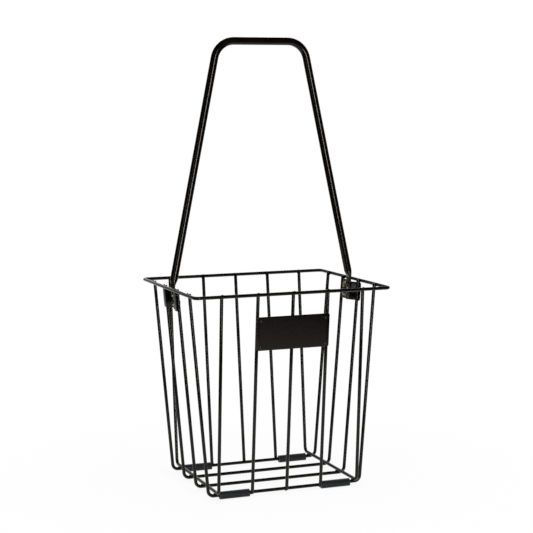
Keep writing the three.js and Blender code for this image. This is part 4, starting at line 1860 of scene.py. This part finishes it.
@dataclass
class Studio:
    """Pale floor, soft light and the camera."""

    camera_azimuth: float = -20.7107
    camera_elevation: float = 6.1805
    camera_roll: float = -0.4804
    camera_distance: float = 2.44005
    camera_target: tuple[float, float, float] = (0.00663, 0.0, 0.36185)
    focal_length: float = 98.4207
    sensor: float = 36.0
    floor_radius: float = 0.84
    floor_sides: int = 96
    floor_drop: float = 0.0001
    floor_white: float = 0.94
    fade_start: float = 0.25
    fade_end: float = 0.72
    fade_share: float = 0.88
    ambient: float = 0.55
    lamps: tuple[Softbox, ...] = (
        Softbox("key_strip", azimuth=1.0, elevation=4.0, distance=2.6, width=0.24, height=1.1,
                radiance=33.0),
        Softbox("fill_strip", azimuth=-51.0, elevation=4.0, distance=2.6, width=0.30, height=1.1,
                radiance=2.6),
        Softbox("overhead", azimuth=-20.0, elevation=80.0, distance=2.6, width=2.0, height=2.0,
                radiance=2.4, reflected=False),
        Softbox("back_strip", azimuth=165.0, elevation=36.0, distance=1.7, width=1.2, height=0.25,
                radiance=4.0),
    )

    def build(self) -> None:
        """Sets the scene round the object."""
        scene = bpy.context.scene
        scene.view_settings.view_transform = "Standard"
        self.build_world(scene)
        self.build_floor()
        for lamp in self.lamps:
            lamp.add(Vector(self.camera_target))
        Curtain().hang()
        self.build_camera(scene)

    def seen_directly(self, tree: bpy.types.NodeTree) -> bpy.types.NodeSocket:
        """Tells a direct look at the background from the light that it gives.

        Args:
            tree: The node tree that asks.

        Returns:
            1 where the camera, a reflection or a clear surface sees it, and 0 elsewhere.
        """
        path = tree.nodes.new("ShaderNodeLightPath")
        seen = path.outputs["Is Camera Ray"]
        for name in ("Is Glossy Ray", "Is Transmission Ray"):
            seen = calculate(tree, Sum.LARGER, seen, path.outputs[name])
        return seen

    def build_world(self, scene: bpy.types.Scene) -> None:
        """Makes a plain even sky, white where it is seen.

        Args:
            scene: The scene under it.
        """
        world = bpy.data.worlds.new("studio")
        scene.world = world
        world.use_nodes = True
        tree = world.node_tree
        shown, lit = tree.nodes["Background"], tree.nodes.new("ShaderNodeBackground")
        for sky, strength in ((shown, 1.0), (lit, self.ambient)):
            sky.inputs["Color"].default_value = WHITE
            sky.inputs["Strength"].default_value = strength
        skies = lit.outputs["Background"], shown.outputs["Background"]
        mixed = mix_shaders(tree, self.seen_directly(tree), *skies)
        tree.links.new(mixed, tree.nodes["World Output"].inputs["Surface"])

    def build_floor(self) -> None:
        """Lays a white floor that keeps the object's shadow."""
        bm = bmesh.new()
        bmesh.ops.create_circle(bm, cap_ends=True, segments=self.floor_sides, radius=self.floor_radius,
                                matrix=Matrix.Translation((0, 0, -self.floor_drop)))
        floor = as_object("floor", bm)
        bm.free()
        floor.data.materials.append(self.floor_material())

    def floor_material(self) -> bpy.types.Material:
        """Mixes a pale matt floor with the white of the backdrop, which takes over outwards.

        Returns:
            The material.
        """
        material = bare_material("floor")
        tree = material.node_tree
        matt = tree.nodes.new("ShaderNodeBsdfDiffuse")
        matt.inputs["Color"].default_value = (self.floor_white,) * 3 + (1,)
        glow = tree.nodes.new("ShaderNodeEmission")
        glow.inputs["Color"].default_value = WHITE
        distance = tree.nodes.new("ShaderNodeVectorMath")
        distance.operation = "LENGTH"
        tree.links.new(tree.nodes.new("ShaderNodeTexCoord").outputs["Object"], distance.inputs[0])
        limits = (self.fade_start, self.fade_end, self.fade_share, 1.0)
        fade = map_range(tree, distance.outputs["Value"], limits)
        fade.interpolation_type = "SMOOTHSTEP"
        share = calculate(tree, Sum.TIMES, self.seen_directly(tree), fade.outputs["Result"])
        mixed = mix_shaders(tree, share, matt.outputs["BSDF"], glow.outputs["Emission"])
        tree.links.new(mixed, tree.nodes["Material Output"].inputs["Surface"])
        return material

    def build_camera(self, scene: bpy.types.Scene) -> None:
        """Sets the camera at the photograph's angle.

        Args:
            scene: The scene that it looks at.
        """
        lens = bpy.data.cameras.new("camera")
        lens.lens = self.focal_length
        lens.sensor_width = self.sensor
        camera = bpy.data.objects.new("camera", lens)
        back = around(self.camera_azimuth, self.camera_elevation)
        aim = back.to_track_quat("Z", "Y").to_matrix()
        roll = Matrix.Rotation(math.radians(self.camera_roll), 3, "Z")
        place = Vector(self.camera_target) + back * self.camera_distance
        camera.matrix_world = Matrix.Translation(place) @ (aim @ roll).to_4x4()
        scene.collection.objects.link(camera)
        scene.camera = camera


def main() -> None:
    """Builds the hopper and its studio, and reports each piece."""
    logging.basicConfig(level=logging.INFO, format="%(name)s: %(message)s")
    layout = Layout()
    handle = Handle(layout)
    WireBasket(layout).build()
    handle.build()
    for side in Side:
        bracket = EndBracket(layout, handle, side)
        bracket.build()
        Fasteners(bracket).build()
    for face in Face:
        for side in Side:
            Foot(layout, face, side).build()
    NamePlate(layout).build()
    Studio().build()


if __name__ == "__main__":
    main()
